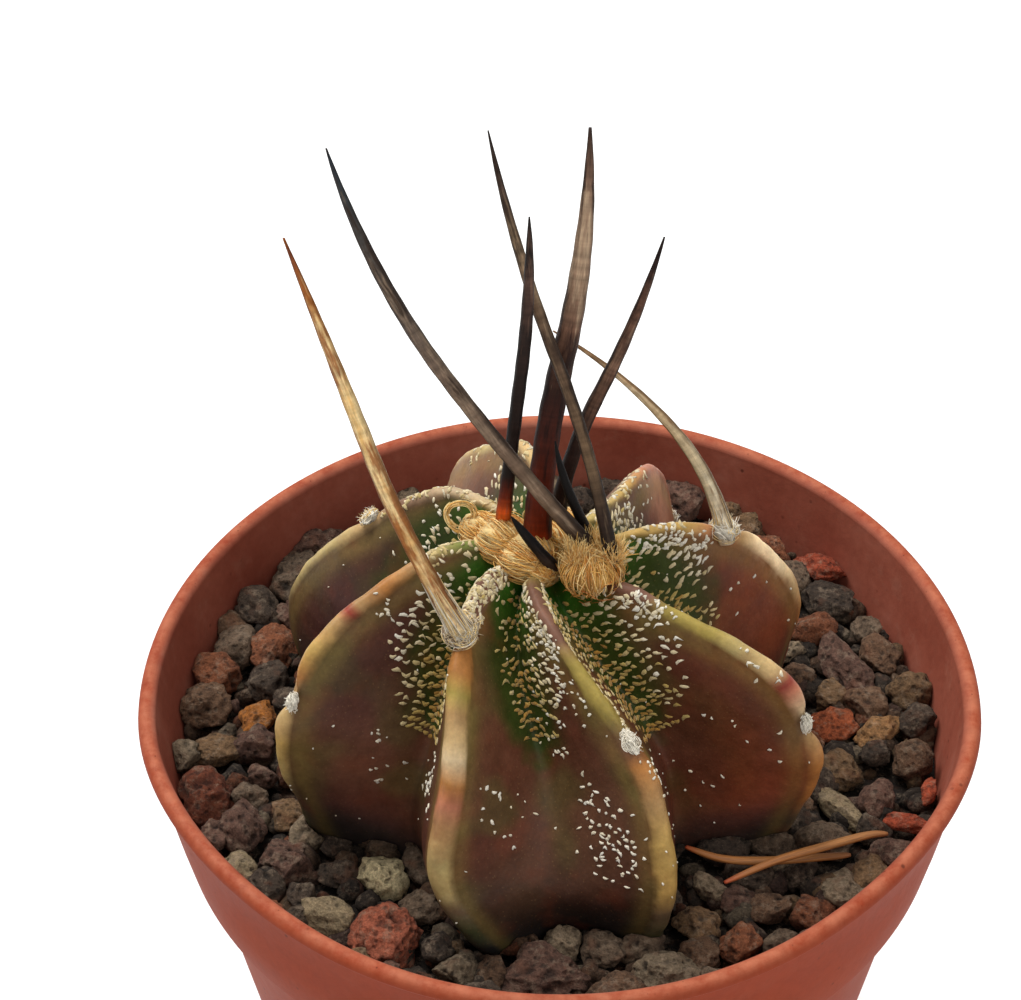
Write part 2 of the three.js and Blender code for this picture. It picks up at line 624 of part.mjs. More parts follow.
// Gravel and soil, with a plain hole for the plant and hollows for the needles
const plantRoom = roomFor(plantShape);
const needleShapes = mapValues(DRY_NEEDLES, needleGeometry);
const needleRooms = Object.values(needleShapes).map(roomFor);
const gravelBed = hollowed(gravel(), [plantRoom, ...needleRooms]);
const soil = potInside().intersect(slab(-POT_HEIGHT, SOIL_TOP)).subtract(plantRoom);

addPiece("pot", pot(), 0xb5603f, 0.5);
addPiece("potting_soil", soil, 0x3a2a20, 0.95);
addPiece("lava_gravel", gravelBed, 0x5a4a44, 0.95);
addPiece("cactus_body", plant, 0x5b4433, 0.6);
for (const [name, shapes] of Object.entries(woolShapes)) {
  const mounds = shapes.map(solidOf).reduce((joined, mound) => joined.add(mound));
  const beside = name === "wool_crown" ? [roomFor(woolShapes.wool_c_young[0])] : [];
  const wool = hollowed(mounds, [...spineRooms, ...beside]);
  addPiece(name, wool, 0xc9a777, 0.9);
}
for (const [name, shape] of Object.entries(spineShapes)) {
  addPiece(name, solidOf(shape), SPINES[name].color, 0.5);
}
for (const [name, shape] of Object.entries(needleShapes)) {
  addPiece(name, solidOf(shape), 0xb87a4a, 0.8);
}

export default root;
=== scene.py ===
"""A goats horn cactus in its small plastic pot, with its finished surfaces.

Shapes are worked out in millimetres with z = 0 at the top of the pot's rim, and they become metres
in the model's frame when a mesh is made.
"""

import math

import bmesh
import bpy
import numpy as np
from mathutils import Matrix, Vector, noise


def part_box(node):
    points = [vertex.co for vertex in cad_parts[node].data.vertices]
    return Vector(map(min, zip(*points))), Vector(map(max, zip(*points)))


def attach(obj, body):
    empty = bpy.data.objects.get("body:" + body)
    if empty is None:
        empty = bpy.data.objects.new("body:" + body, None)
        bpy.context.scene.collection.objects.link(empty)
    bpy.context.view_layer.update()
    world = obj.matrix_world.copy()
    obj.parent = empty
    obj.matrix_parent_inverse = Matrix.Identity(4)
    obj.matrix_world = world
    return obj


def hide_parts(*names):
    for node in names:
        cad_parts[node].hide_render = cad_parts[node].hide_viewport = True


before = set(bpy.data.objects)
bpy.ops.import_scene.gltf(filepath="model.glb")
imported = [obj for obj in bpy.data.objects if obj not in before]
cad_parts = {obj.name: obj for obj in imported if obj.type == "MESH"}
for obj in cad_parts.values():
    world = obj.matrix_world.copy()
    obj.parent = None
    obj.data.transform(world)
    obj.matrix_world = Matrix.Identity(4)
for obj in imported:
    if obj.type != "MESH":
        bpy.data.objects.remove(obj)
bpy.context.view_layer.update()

MM = 0.001
RIM_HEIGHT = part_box("pot")[1].z / MM
RIM_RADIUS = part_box("pot")[1].x / MM

# Camera, from the centre of the rim: where it stands, what it looks along and what is up for it
CAMERA_PLACE = (0, -124.605, 128.923)
CAMERA_FORWARD = (-0.01936, 0.74483, -0.66697)
CAMERA_UP = (-0.00253, 0.66706, 0.745)
CAMERA_LENS = 88.15

# Plant: the meridians of a rib's ridge and of the furrow beside it, as (distance from the axis, height).
# Each pair of points is one step from the crown to the root tip.
PLANT_X = -1
RIDGE_MERIDIAN = [
    (0, 12.0), (2.5, 13.0), (5.0, 13.8), (8.0, 13.9), (10.5, 12.8), (13.5, 10.9),
    (16.5, 8.3), (19.0, 5.2), (20.8, 1.4), (21.2, -1.8), (20.4, -5.4), (18.0, -9.4),
    (13.2, -13.4), (7.5, -17.2), (3.8, -23.0), (2.2, -31.0), (0, -36.0),
]
FURROW_MERIDIAN = [
    (0, 12.0), (1.9, 11.7), (3.7, 11.0), (5.8, 9.8), (7.8, 8.0), (9.8, 5.8),
    (11.6, 3.2), (12.9, 0.2), (13.6, -2.8), (13.8, -5.2), (13.6, -7.8), (12.4, -10.6),
    (9.6, -13.7), (6.2, -17.3), (3.6, -23.0), (2.2, -31.0), (0, -36.0),
]
LAST_STEP = len(RIDGE_MERIDIAN) - 1
# Ribs: azimuth, twist, reach, shoulder step, shoulder height, sway, tuck and fill of the furrow after it
RIBS = {
    "a": (-110.3, -29, 0, 6, 0, 10.3, 0, 0.6),
    "b": (-66, -36, 0, 6, 0, -2.5, 0, 0),
    "c": (-29.7, -18, 0.5, 5.9, 2.75, 0, 1.4, 0),
    "d": (19, -18, -0.8, 4.6, 0.5, 0, 1.7, 0),
    "e": (60.6, -18, -1.8, 3.3, -2, 0, 0.4, 0),
    "f": (111.5, -22, -1.2, 3, 1, 0, 0, 0),
    "g": (155.5, -22, -0.4, 6, -0.7, 0, 0, 0),
    "h": (210, -28, -0.2, 5.8, 2.9, 0, 1.6, 0.1),
}
RIB_TABLE = np.array(list(RIBS.values()), float)
RIB_COUNT = len(RIBS)
TWIST_INNER_RADIUS = 4
TWIST_FADE_LENGTH = 14
TWIST_FADE_POWER = 1.5
SHOULDER_SPREAD = 1.5
WAIST_STEP = 8.5
REACH_SPREAD = 2.2
FIRST_ROOT_STEP = 12.5
FILL_STEPS = (5, 9)
SWAY_STEPS = (7.5, 10.5)
TUCK_STEPS = (7.2, 9.4)
RIDGE_HALF_WIDTH = 1.3
RIDGE_ROUNDING_LIMIT = 0.35
FLANK_POWER = 1.6
COLUMN_CROWDING = 1.35

# Colours as they look, from 0 to 255
PALETTE = {
    "cream": (196, 164, 114),
    "bone": (196, 172, 134),
    "olive": (156, 136, 68),
    "khaki": (176, 154, 100),
    "straw": (184, 150, 84),
    "leaf": (112, 120, 58),
    "orange": (168, 112, 58),
    "tan": (166, 130, 84),
    "pink": (176, 112, 84),
    "red": (132, 40, 34),
    "rose_brown": (116, 82, 66),
    "grey_brown": (100, 84, 62),
    "moss": (72, 76, 48),
    "maroon": (92, 48, 34),
    "brown": (84, 58, 38),
    "olive_brown": (82, 68, 36),
    "purple": (58, 38, 38),
    "red_brown": (126, 58, 34),
    "dusty_rose": (204, 144, 112),
    # A band colour made lighter than the band itself as painted light, for rib d where the band gets less
    # light
    "rose_with_painted_light": (255, 224, 174),
    "green": (50, 64, 18),
    "bright_green": (50, 102, 24),
    "blue_black": (38, 37, 36),
    # The lip's lighter colour: a painted highlight along it, mixed with real wear
    "lip_highlight_and_wear": (190, 118, 88),
    "pot_dust": (176, 128, 108),
    "pot_speck": (74, 36, 26),
    "stone_dust": (158, 138, 116),
    "stone_rust": (116, 72, 50),
}

# Ramps of colour: how far along each colour stands
POT_OUTSIDE_RAMP = [(0.3, (138, 56, 32)), (0.55, (144, 60, 35)), (0.72, (150, 66, 40))]
# The inside's ramp is lighter and pinker than the outside's: painted light on the inner wall, which lies in
# shade
POT_INSIDE_LIT_RAMP = [(0.3, (138, 68, 52)), (0.55, (156, 86, 68)), (0.75, (172, 106, 88))]
SOIL_RAMP = [(0.3, (30, 22, 16)), (0.55, (58, 44, 32)), (0.75, (96, 78, 60))]
NEEDLE_RAMP = [(0, (170, 66, 28)), (0.12, (156, 96, 44)), (0.6, (164, 108, 52)), (1, (134, 82, 40))]

# The ridge band's colours down each rib, by step
BANDS = {
    "a": [(1, "olive"), (2, "rose_brown"), (3.4, "rose_brown"), (3.9, "orange"), (4.5, "orange"),
          (4.9, "olive"), (5.3, "tan"), (5.7, "cream"), (6.0, "bone"), (6.35, "orange"), (6.7, "pink"),
          (7.2, "tan"), (7.7, "khaki"), (8.2, "khaki"), (8.7, "grey_brown"), (9.2, "moss"),
          (9.8, "blue_black")],
    "b": [(1, "olive"), (2, "rose_brown"), (3.6, "rose_brown"), (4.2, "olive"), (5.2, "olive"),
          (5.7, "rose_brown"), (6.1, "orange"), (6.8, "tan"), (7.4, "straw"), (8.4, "straw"),
          (9.0, "grey_brown"), (9.8, "moss")],
    "c": [(1, "olive"), (2.4, "rose_brown"), (3.4, "rose_brown"), (3.9, "olive"), (4.7, "olive"),
          (5.2, "khaki"), (5.7, "cream"), (5.95, "red"), (6.15, "pink"), (6.5, "bone"), (7.0, "tan"),
          (7.5, "orange"), (8.4, "orange"), (9.2, "grey_brown"), (10.4, "moss")],
    # Rib d's band is made lighter in its middle steps with painted light
    "d": [(1, "olive"), (2.2, "straw"), (3.6, "straw"), (4.6, "pink"), (5.2, "tan"), (5.8, "rose_with_painted_light"),
          (6.5, "rose_with_painted_light"), (7.2, "cream"), (8.0, "orange"), (9.2, "red_brown"), (10, "grey_brown")],
    "e": [(1, "olive"), (2.5, "khaki"), (4.0, "straw"), (5.2, "pink"), (8.4, "pink"), (10, "grey_brown")],
    "f": [(1, "olive"), (3, "cream"), (5, "khaki"), (7, "tan"), (9, "grey_brown")],
    "g": [(1, "olive"), (2.5, "bone"), (4.6, "rose_brown"), (5.4, "cream"), (6.4, "khaki"),
          (7.6, "khaki"), (8.6, "grey_brown"), (10, "moss")],
    "h": [(1, "leaf"), (2.2, "leaf"), (2.9, "khaki"), (3.4, "tan"), (4.2, "orange"), (4.65, "tan"),
          (4.78, "red"), (4.95, "tan"), (5.5, "straw"), (6.0, "orange"), (6.4, "cream"), (7.2, "straw"),
          (8.0, "khaki"), (8.8, "grey_brown"), (9.6, "moss")],
}

# How far the callus band reaches from each ridge, in millimetres, by step
BAND_REACH = {
    "a": [(3.6, 1.3), (4.6, 1.25), (5.6, 1.1), (6.5, 1.1), (9, 1.0)],
    "b": [(3.6, 0.62), (5, 0.7), (6.2, 0.9), (8, 1.0), (9.5, 0.9)],
    "c": [(3.4, 0.45), (4.2, 0.65), (5.4, 0.95), (6.3, 0.85), (7.2, 0.65), (9, 0.55)],
    "d": [(3, 0.5), (4.5, 0.75), (6, 0.95), (7.5, 0.9), (9, 0.5)],
    "e": [(3, 0.3), (5, 0.5), (9, 0.5)],
    "f": [(3, 0.5), (6, 0.7), (9, 0.5)],
    "g": [(3, 0.5), (6, 0.7), (9, 0.6)],
    "h": [(2.8, 0.5), (4.5, 0.72), (6.0, 0.75), (6.8, 0.6), (8, 0.5), (9, 0.4)],
}
# Widths over which the band's relief and its colour fade out
BAND_EDGE = 0.3
BAND_FADE = 0.6

# Noise on the skin, as layers of (height in millimetres, size, seed)
BAND_RAGGEDNESS = ((0.16, 1.7, 3), (0.07, 0.5, 4))
BAND_LUMPS = ((0.1, 2.3, 5), (0.05, 0.8, 6))
BAND_HEIGHT = 0.11
SKIN_WAVES = ((0.2, 5.5, 7), (0.06, 1.9, 8))
RELIEF_END = (9.5, 10.5)

# Painted light and shade on the flanks, where they are made paler or darker: middle and spread of the turn,
# of the step, and the gain
PAINTED_LIGHT_PATCHES = [
    ((7.86, 0.16), (7.4, 1.6), 1.2), ((0.74, 0.2), (5.2, 1.0), 0.25), ((2.25, 0.2), (8.2, 0.9), 0.9),
    ((6.78, 0.3), (4.2, 1.4), -0.5), ((1.72, 0.1), (7.0, 0.8), -0.15), ((1.0, 0.3), (9.4, 0.9), -0.6),
    ((2.36, 0.18), (6.4, 1.0), -0.28), ((7.6, 0.2), (5.4, 0.8), -0.15), ((3.6, 0.3), (6.0, 1.2), 0.12),
    ((2.42, 0.1), (8.6, 0.7), 0.4),
]

# How far the green of the furrows reaches into the flanks, by step, and where it reaches further
GREEN_REACH = [(0, 0.42), (1.5, 0.34), (3, 0.28), (4.5, 0.21), (5.6, 0.1), (6.4, -0.1)]
GREENER_TURNS = ((3.2, 0.5), (6.8, 0.6))
GREENER_SPREAD = 0.3

# Old and young areoles that pinch the ridge: rib, step and depth
NOTCHES = [("a", 3.9, 0.35), ("b", 5.6, 0.3), ("c", 6.75, 0.75), ("c", 2.2, 0.3), ("d", 4.75, 0.35),
           ("g", 5.3, 0.3), ("h", 6.25, 0.8)]
NOTCH_HALF_LENGTH = 0.33
NOTCH_HALF_WIDTH = 2.0
# The chin below a notch: how far below it, its half sizes and its height as a share of the notch's depth
CHIN_DROP = 0.75
CHIN_HALF_LENGTH = 0.45
CHIN_HALF_WIDTH = 1.6
CHIN_SHARE = 0.35

# Body mesh
FINE_STEPS = 10.6
FINE_ROWS = 190
ROOT_ROWS = 16
COLUMNS_PER_RIB = 48


def smoothstep(x, low, high):
    t = np.clip((np.asarray(x, float) - low) / (high - low), 0, 1)
    return t * t * (3 - 2 * t)


def lerp(a, b, t):
    return a + (b - a) * t


def bell(distance, spread):
    return np.exp(-((np.asarray(distance, float) / spread) ** 2))


def unit(vectors):
    length = np.linalg.norm(vectors, axis=-1, keepdims=True)
    return vectors / np.maximum(length, 1e-9)


def linear(color):
    """A colour as it looks, 0 to 255, as the light it gives back, 0 to 1."""
    share = np.asarray(color, float) / 255
    return np.where(share <= 0.04045, share / 12.92, ((share + 0.055) / 1.055) ** 2.4)


def swatch(name):
    return linear(PALETTE[name])


def noise_at(points, size, seed):
    """Smooth noise from about -1 to 1 at each point, with features of a size in millimetres."""
    shift = Vector((17.3 * seed, 5.1 * seed, 9.7 * seed))
    flat = np.asarray(points, float).reshape(-1, 3) / size
    values = [noise.noise(Vector(point) + shift) for point in flat]
    return np.array(values).reshape(np.shape(points)[:-1])


def layers_at(points, layers):
    """Layers of noise, each of a height, size and seed, added up."""
    return sum(height * noise_at(points, size, seed) for height, size, seed in layers)


def spline(points, where):
    """A Catmull-Rom curve through points, at positions counted in points."""
    points = np.array(points, float)
    last = len(points) - 1
    first = np.clip(np.floor(where).astype(int), 0, last)
    t = (where - first)[..., None]
    p0, p1 = points[np.maximum(first - 1, 0)], points[first]
    p2, p3 = points[np.minimum(first + 1, last)], points[np.minimum(first + 2, last)]
    v0, v1 = (p2 - p0) / 2, (p3 - p1) / 2
    return (2 * p1 - 2 * p2 + v0 + v1) * t**3 + (3 * p2 - 3 * p1 - 2 * v0 - v1) * t**2 + v0 * t + p1


# Mesh making

def piece(name, points, triangles, material, values):
    """A mesh object from points in millimetres and triangles, with named values at its points."""
    mesh = bpy.data.meshes.new(name)
    placed = (np.asarray(points, float) + (0, 0, RIM_HEIGHT)) * MM
    triangles = np.asarray(triangles, np.int32)
    mesh.vertices.add(len(placed))
    mesh.vertices.foreach_set("co", placed.astype(np.float32).ravel())
    mesh.loops.add(triangles.size)
    mesh.loops.foreach_set("vertex_index", triangles.ravel())
    mesh.polygons.add(len(triangles))
    mesh.polygons.foreach_set("loop_start", np.arange(0, triangles.size, 3, dtype=np.int32))
    mesh.polygons.foreach_set("use_smooth", np.full(len(triangles), True))
    mesh.update(calc_edges=True)
    for key, value in values.items():
        value = np.asarray(value, np.float32)
        if value.ndim == 1:
            mesh.attributes.new(key, "FLOAT", "POINT").data.foreach_set("value", value)
        else:
            rgba = np.concatenate([value, np.ones((len(value), 1), np.float32)], 1)
            mesh.attributes.new(key, "FLOAT_COLOR", "POINT").data.foreach_set("color", rgba.ravel())
    mesh.materials.append(material)
    made = bpy.data.objects.new(name, mesh)
    bpy.context.scene.collection.objects.link(made)
    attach(made, "root")
    return made


def grid_triangles(rows, columns):
    """The triangles between rows of points that close on themselves, faces outwards for rows that
    run down a shape counted anticlockwise."""
    row, column = np.meshgrid(np.arange(rows - 1), np.arange(columns), indexing="ij")
    beside = (column + 1) % columns
    a, b = row * columns + column, row * columns + beside
    c, d = a + columns, b + columns
    first = np.stack([a, c, b], -1).reshape(-1, 3)
    second = np.stack([b, c, d], -1).reshape(-1, 3)
    return np.concatenate([first, second])


def end_fans(rows, columns):
    """Triangles from the first and last rows to one more point each, which follow the rows."""
    column = np.arange(columns)
    beside = (column + 1) % columns
    top, bottom = rows * columns, rows * columns + 1
    last = (rows - 1) * columns
    first_fan = np.stack([np.full(columns, top), column, beside], -1)
    last_fan = np.stack([np.full(columns, bottom), last + beside, last + column], -1)
    return np.concatenate([first_fan, last_fan])


def tubes(routes, widths, depths, sides, around):
    """Closed tubes along many routes of points. Widths and depths are the half sizes at each point,
    and around turns each section's wide side towards a direction."""
    count, steps, _ = routes.shape
    forward = unit(np.gradient(routes, axis=1))
    reference = around if np.ndim(around) == 1 else around[:, None, :]
    across = unit(np.cross(forward, np.broadcast_to(reference, routes.shape)))
    deep = np.cross(forward, across)
    turn = 2 * math.pi * np.arange(sides) / sides
    ring = (across[:, :, None] * (np.cos(turn)[:, None] * widths[:, :, None, None])
            + deep[:, :, None] * (np.sin(turn)[:, None] * depths[:, :, None, None]))
    body = (routes[:, :, None] + ring).reshape(count, steps * sides, 3)
    ends = routes[:, [0, -1]]
    points = np.concatenate([body, ends], 1)
    faces = np.concatenate([grid_triangles(steps, sides)[:, ::-1], end_fans(steps, sides)[:, ::-1]])
    offsets = np.arange(count)[:, None, None] * points.shape[1]
    return points.reshape(-1, 3), (faces[None] + offsets).reshape(-1, 3)


def ball(level):
    """The points and triangles of a round ball of radius 1."""
    shape = bmesh.new()
    bmesh.ops.create_icosphere(shape, subdivisions=level, radius=1)
    points = np.array([v.co for v in shape.verts], float)
    triangles = np.array([[v.index for v in f.verts] for f in shape.faces])
    shape.free()
    return points, triangles


BALLS = {level: ball(level) for level in (2, 4, 5)}


def joined(parts):
    """Many (points, triangles, values) as one."""
    offset = 0
    points, triangles, values = [], [], {}
    for part_points, part_triangles, part_values in parts:
        points.append(part_points)
        triangles.append(np.asarray(part_triangles) + offset)
        offset += len(part_points)
        for key, value in part_values.items():
            values.setdefault(key, []).append(value)
    values = {key: np.concatenate(value) for key, value in values.items()}
    return np.concatenate(points), np.concatenate(triangles), values


# Materials

class Shader:
    """A node material whose nodes are made in the order in which they are asked for."""

    def __init__(self, name):
        self.material = bpy.data.materials.new(name)
        self.material.use_nodes = True
        self.tree = self.material.node_tree
        self.surface = self.tree.nodes["Principled BSDF"]
        self.place = self.node("ShaderNodeTexCoord").outputs["Object"]

    def node(self, kind, inputs=None, **settings):
        made = self.tree.nodes.new(kind)
        for key, value in settings.items():
            setattr(made, key, value)
        for key, value in (inputs or {}).items():
            self.put(made.inputs[key], value)
        return made

    def put(self, socket, value):
        if isinstance(value, bpy.types.NodeSocket):
            self.tree.links.new(value, socket)
        elif socket.type == "RGBA" and len(value) == 3:
            socket.default_value = (*value, 1)
        else:
            socket.default_value = value

    def set(self, **values):
        for key, value in values.items():
            self.put(self.surface.inputs[key.replace("_", " ")], value)

    def attribute(self, name, output="Fac"):
        return self.node("ShaderNodeAttribute", attribute_name=name).outputs[output]

    def noise(self, size, detail=3, rough=0.55, vector=None):
        inputs = {"Vector": vector or self.place, "Scale": 1 / (size * MM)}
        inputs.update({"Detail": detail, "Roughness": rough})
        return self.node("ShaderNodeTexNoise", inputs).outputs["Fac"]

    def cells(self, size):
        inputs = {"Vector": self.place, "Scale": 1 / (size * MM)}
        return self.node("ShaderNodeTexVoronoi", inputs).outputs["Distance"]

    def spread(self, value, low, high, to_low=0, to_high=1):
        inputs = {"Value": value, "From Min": low, "From Max": high, "To Min": to_low, "To Max": to_high}
        return self.node("ShaderNodeMapRange", inputs).outputs["Result"]

    def math(self, operation, a, b):
        return self.node("ShaderNodeMath", {0: a, 1: b}, operation=operation).outputs[0]

    def times(self, a, b):
        return self.math("MULTIPLY", a, b)

    def plus(self, a, b):
        return self.math("ADD", a, b)

    def mix(self, factor, a, b, blend="MIX"):
        made = self.node("ShaderNodeMix", data_type="RGBA", blend_type=blend)
        for socket, value in zip((made.inputs[0], made.inputs[6], made.inputs[7]), (factor, a, b)):
            self.put(socket, value)
        return made.outputs[2]

    def tint(self, color, value):
        """The colour made lighter or darker by a value, where 1 leaves it as it is."""
        grey = self.node("ShaderNodeCombineColor", {0: value, 1: value, 2: value}).outputs[0]
        return self.mix(1.0, color, grey, "MULTIPLY")

    def shaded(self, color, value, low, high, at_low, at_high):
        """The colour made lighter or darker as a value goes from low to high."""
        return self.tint(color, self.spread(value, low, high, at_low, at_high))

    def ramp(self, value, stops):
        made = self.node("ShaderNodeValToRGB", {"Fac": value})
        elements = made.color_ramp.elements
        while len(elements) < len(stops):
            elements.new(0.5)
        for element, (where, color) in zip(elements, stops):
            element.position = where
            element.color = (*linear(color), 1)
        return made.outputs["Color"]

    def bump(self, height, depth, strength, after=None):
        inputs = {"Height": height, "Distance": depth * MM, "Strength": strength}
        if after is not None:
            inputs["Normal"] = after
        return self.node("ShaderNodeBump", inputs).outputs["Normal"]


def skin_material():
    shader = Shader("cactus_skin_waxy")
    base = shader.attribute("tone", "Color")
    mottle = shader.noise(1.3, 4, 0.6)
    grain = shader.noise(0.28, 3, 0.6)
    color = shader.shaded(base, mottle, 0.25, 0.75, 0.78, 1.24)
    color = shader.shaded(color, grain, 0.2, 0.8, 0.86, 1.14)
    blotch = shader.spread(shader.noise(3.2, 3, 0.5), 0.56, 0.78)
    color = shader.mix(shader.times(blotch, 0.35), color, swatch("red_brown"))
    pores = shader.spread(shader.cells(0.34), 0.0, 0.22, 1, 0)
    color = shader.mix(shader.times(pores, 0.22), color, swatch("tan"))
    pitted = shader.bump(grain, 0.03, 0.5)
    waved = shader.bump(shader.noise(1.0, 2), 0.12, 0.5, pitted)
    rough = shader.spread(mottle, 0.3, 0.7, 0.42, 0.58)
    shader.set(Base_Color=color, Roughness=rough, Normal=waved, Specular_IOR_Level=0.2)
    shader.set(Subsurface_Weight=0.06, Subsurface_Scale=0.0012, Subsurface_Radius=(1.0, 0.5, 0.25))
    return shader.material


def fleck_material():
    shader = Shader("fleck_wool")
    base = shader.attribute("tone", "Color")
    fuzz = shader.noise(0.09, 3, 0.7)
    color = shader.shaded(base, fuzz, 0.25, 0.75, 0.72, 1.15)
    shader.set(Base_Color=color, Roughness=0.9, Normal=shader.bump(fuzz, 0.05, 0.8), Sheen_Weight=0.2)
    return shader.material


def wool_material(name):
    shader = Shader(name)
    base = shader.attribute("tone", "Color")
    streak = shader.noise(0.16, 3, 0.65)
    color = shader.shaded(base, streak, 0.25, 0.75, 0.82, 1.14)
    shader.set(Base_Color=color, Roughness=0.9, Normal=shader.bump(streak, 0.06, 0.7), Sheen_Weight=0.12)
    return shader.material


def spine_material(name, stops, pale, stain, banding):
    """Horn with a ramp of colours along it, pale and stained streaks, rings, painted shade on its sides as
    the camera sees them and a painted highlight down its middle.
    """
    shader = Shader(name)
    way = shader.attribute("way")
    grain = shader.attribute("grain", "Vector")
    ringed = shader.attribute("rings", "Vector")
    # Painted shade: how far round to the sides each point lies, as the camera sees the spine
    sides = shader.spread(shader.attribute("edge"), 0.45, 1)
    fibre = shader.noise(0.14, 4, 0.7, grain)
    rings = shader.noise(0.75, 3, 0.6, ringed)
    color = shader.ramp(way, stops)
    # Stains gather and pale streaks thin out towards the sides, as more painted shade
    painted_side_shade = shader.times(sides, 0.1)
    streaks = shader.math("SUBTRACT", shader.noise(0.8, 4, 0.65, grain), painted_side_shade)
    blots = shader.plus(shader.noise(0.55, 4, 0.6, grain), painted_side_shade)
    for marks, reach, low, high, shade in (
        (streaks, "paled", 0.44, 0.58, pale), (blots, "stained", 0.48, 0.6, stain),
    ):
        share = shader.spread(shader.plus(marks, shader.attribute(reach)), low, high)
        color = shader.mix(shader.times(share, STREAK_STRENGTH), color, linear(shade))
    # Painted shade on the sides and a painted highlight down the middle
    color = shader.shaded(color, sides, 0, 1, 1.14, 0.52)
    color = shader.shaded(color, rings, 0.34, 0.66, 1 - 0.5 * banding, 1 + 0.5 * banding)
    color = shader.shaded(color, fibre, 0.25, 0.75, 0.72, 1.26)
    normal = shader.bump(fibre, 0.07, 0.7, shader.bump(rings, 0.08, 0.5))
    shader.set(Base_Color=color, Roughness=shader.spread(fibre, 0.3, 0.7, 0.42, 0.6), Normal=normal)
    shader.set(Specular_IOR_Level=0.14)
    return shader.material


def pot_material():
    shader = Shader("pot_plastic_semi_matt")
    inner = shader.attribute("inner")
    lip = shader.attribute("lip")
    cloud = shader.noise(9, 5, 0.6)
    fine = shader.noise(0.7, 4, 0.65)
    outer_color = shader.ramp(cloud, POT_OUTSIDE_RAMP)
    # The inner wall's lighter colours are painted light
    inner_lit_color = shader.ramp(cloud, POT_INSIDE_LIT_RAMP)
    color = shader.mix(inner, outer_color, inner_lit_color)
    # A painted highlight along the rounded top of the lip, mixed with real wear, in a lighter colour
    highlight_and_wear = shader.times(lip, shader.spread(shader.noise(1.6, 4, 0.7), 0.3, 0.62))
    color = shader.mix(shader.times(highlight_and_wear, 0.6), color, swatch("lip_highlight_and_wear"))
    dusty = shader.spread(shader.noise(2.4, 5, 0.7), 0.54, 0.8)
    dust = shader.times(dusty, shader.spread(inner, 0, 1, 0.06, 0.3))
    color = shader.mix(dust, color, swatch("pot_dust"))
    specks = shader.spread(shader.cells(1.5), 0.06, 0.13, 1, 0)
    scattered = shader.times(specks, shader.spread(shader.noise(3.0, 2), 0.48, 0.6))
    nicks = shader.times(shader.spread(shader.cells(0.5), 0.08, 0.16, 1, 0), lip)
    nicked = shader.times(nicks, shader.spread(shader.noise(2.2, 3), 0.5, 0.6))
    marks = shader.math("MAXIMUM", scattered, nicked)
    color = shader.mix(shader.times(marks, 0.7), color, swatch("pot_speck"))
    color = shader.shaded(color, fine, 0.25, 0.75, 0.9, 1.1)
    scuffs = shader.noise(1.1, 4, 0.7)
    normal = shader.bump(scuffs, 0.05, 0.5, shader.bump(fine, 0.03, 0.5))
    shader.set(Base_Color=color, Normal=normal, Roughness=shader.spread(cloud, 0.3, 0.7, 0.54, 0.7))
    shader.set(Specular_IOR_Level=0.1)
    return shader.material


def stone_material():
    shader = Shader("lava_stone")
    base = shader.attribute("tone", "Color")
    pit = shader.attribute("pit")
    rough = shader.noise(0.55, 5, 0.7)
    fine = shader.noise(0.16, 4, 0.7)
    holes = shader.spread(shader.cells(0.62), 0.12, 0.34)
    color = shader.shaded(base, rough, 0.28, 0.72, 0.45, 1.5)
    color = shader.shaded(color, fine, 0.3, 0.7, 0.6, 1.45)
    dusty = shader.times(shader.spread(shader.noise(0.9, 5, 0.75), 0.52, 0.7), 0.5)
    color = shader.mix(dusty, color, swatch("stone_dust"))
    # Painted shade in hollows: darker in the pores of the texture and where a point lies deep in a hole
    color = shader.shaded(color, holes, 0, 1, 0.5, 1.05)
    color = shader.shaded(color, pit, 0, 1, 1.08, 0.4)
    rust = shader.times(shader.spread(shader.noise(1.7, 3), 0.56, 0.7), 0.35)
    color = shader.mix(rust, color, swatch("stone_rust"))
    normal = shader.bump(rough, 0.35, 1.0, shader.bump(fine, 0.16, 1.0))
    normal = shader.bump(holes, 0.16, 0.8, normal)
    shader.set(Base_Color=color, Roughness=0.92, Normal=normal, Specular_IOR_Level=0.3)
    return shader.material


def soil_material():
    shader = Shader("potting_soil_crumb")
    crumb = shader.noise(1.2, 5, 0.7)
    color = shader.ramp(crumb, SOIL_RAMP)
    normal = shader.bump(crumb, 0.5, 0.8)
    shader.set(Base_Color=color, Roughness=0.97, Normal=normal)
    return shader.material


def needle_material():
    shader = Shader("dry_needle_leaf")
    way = shader.attribute("way")
    fibre = shader.noise(0.2, 4, 0.65, shader.attribute("grain", "Vector"))
    color = shader.ramp(way, NEEDLE_RAMP)
    color = shader.shaded(color, fibre, 0.3, 0.7, 0.55, 1.3)
    shader.set(Base_Color=color, Roughness=0.6, Normal=shader.bump(fibre, 0.06, 0.6))
    return shader.material


# The plant's surface

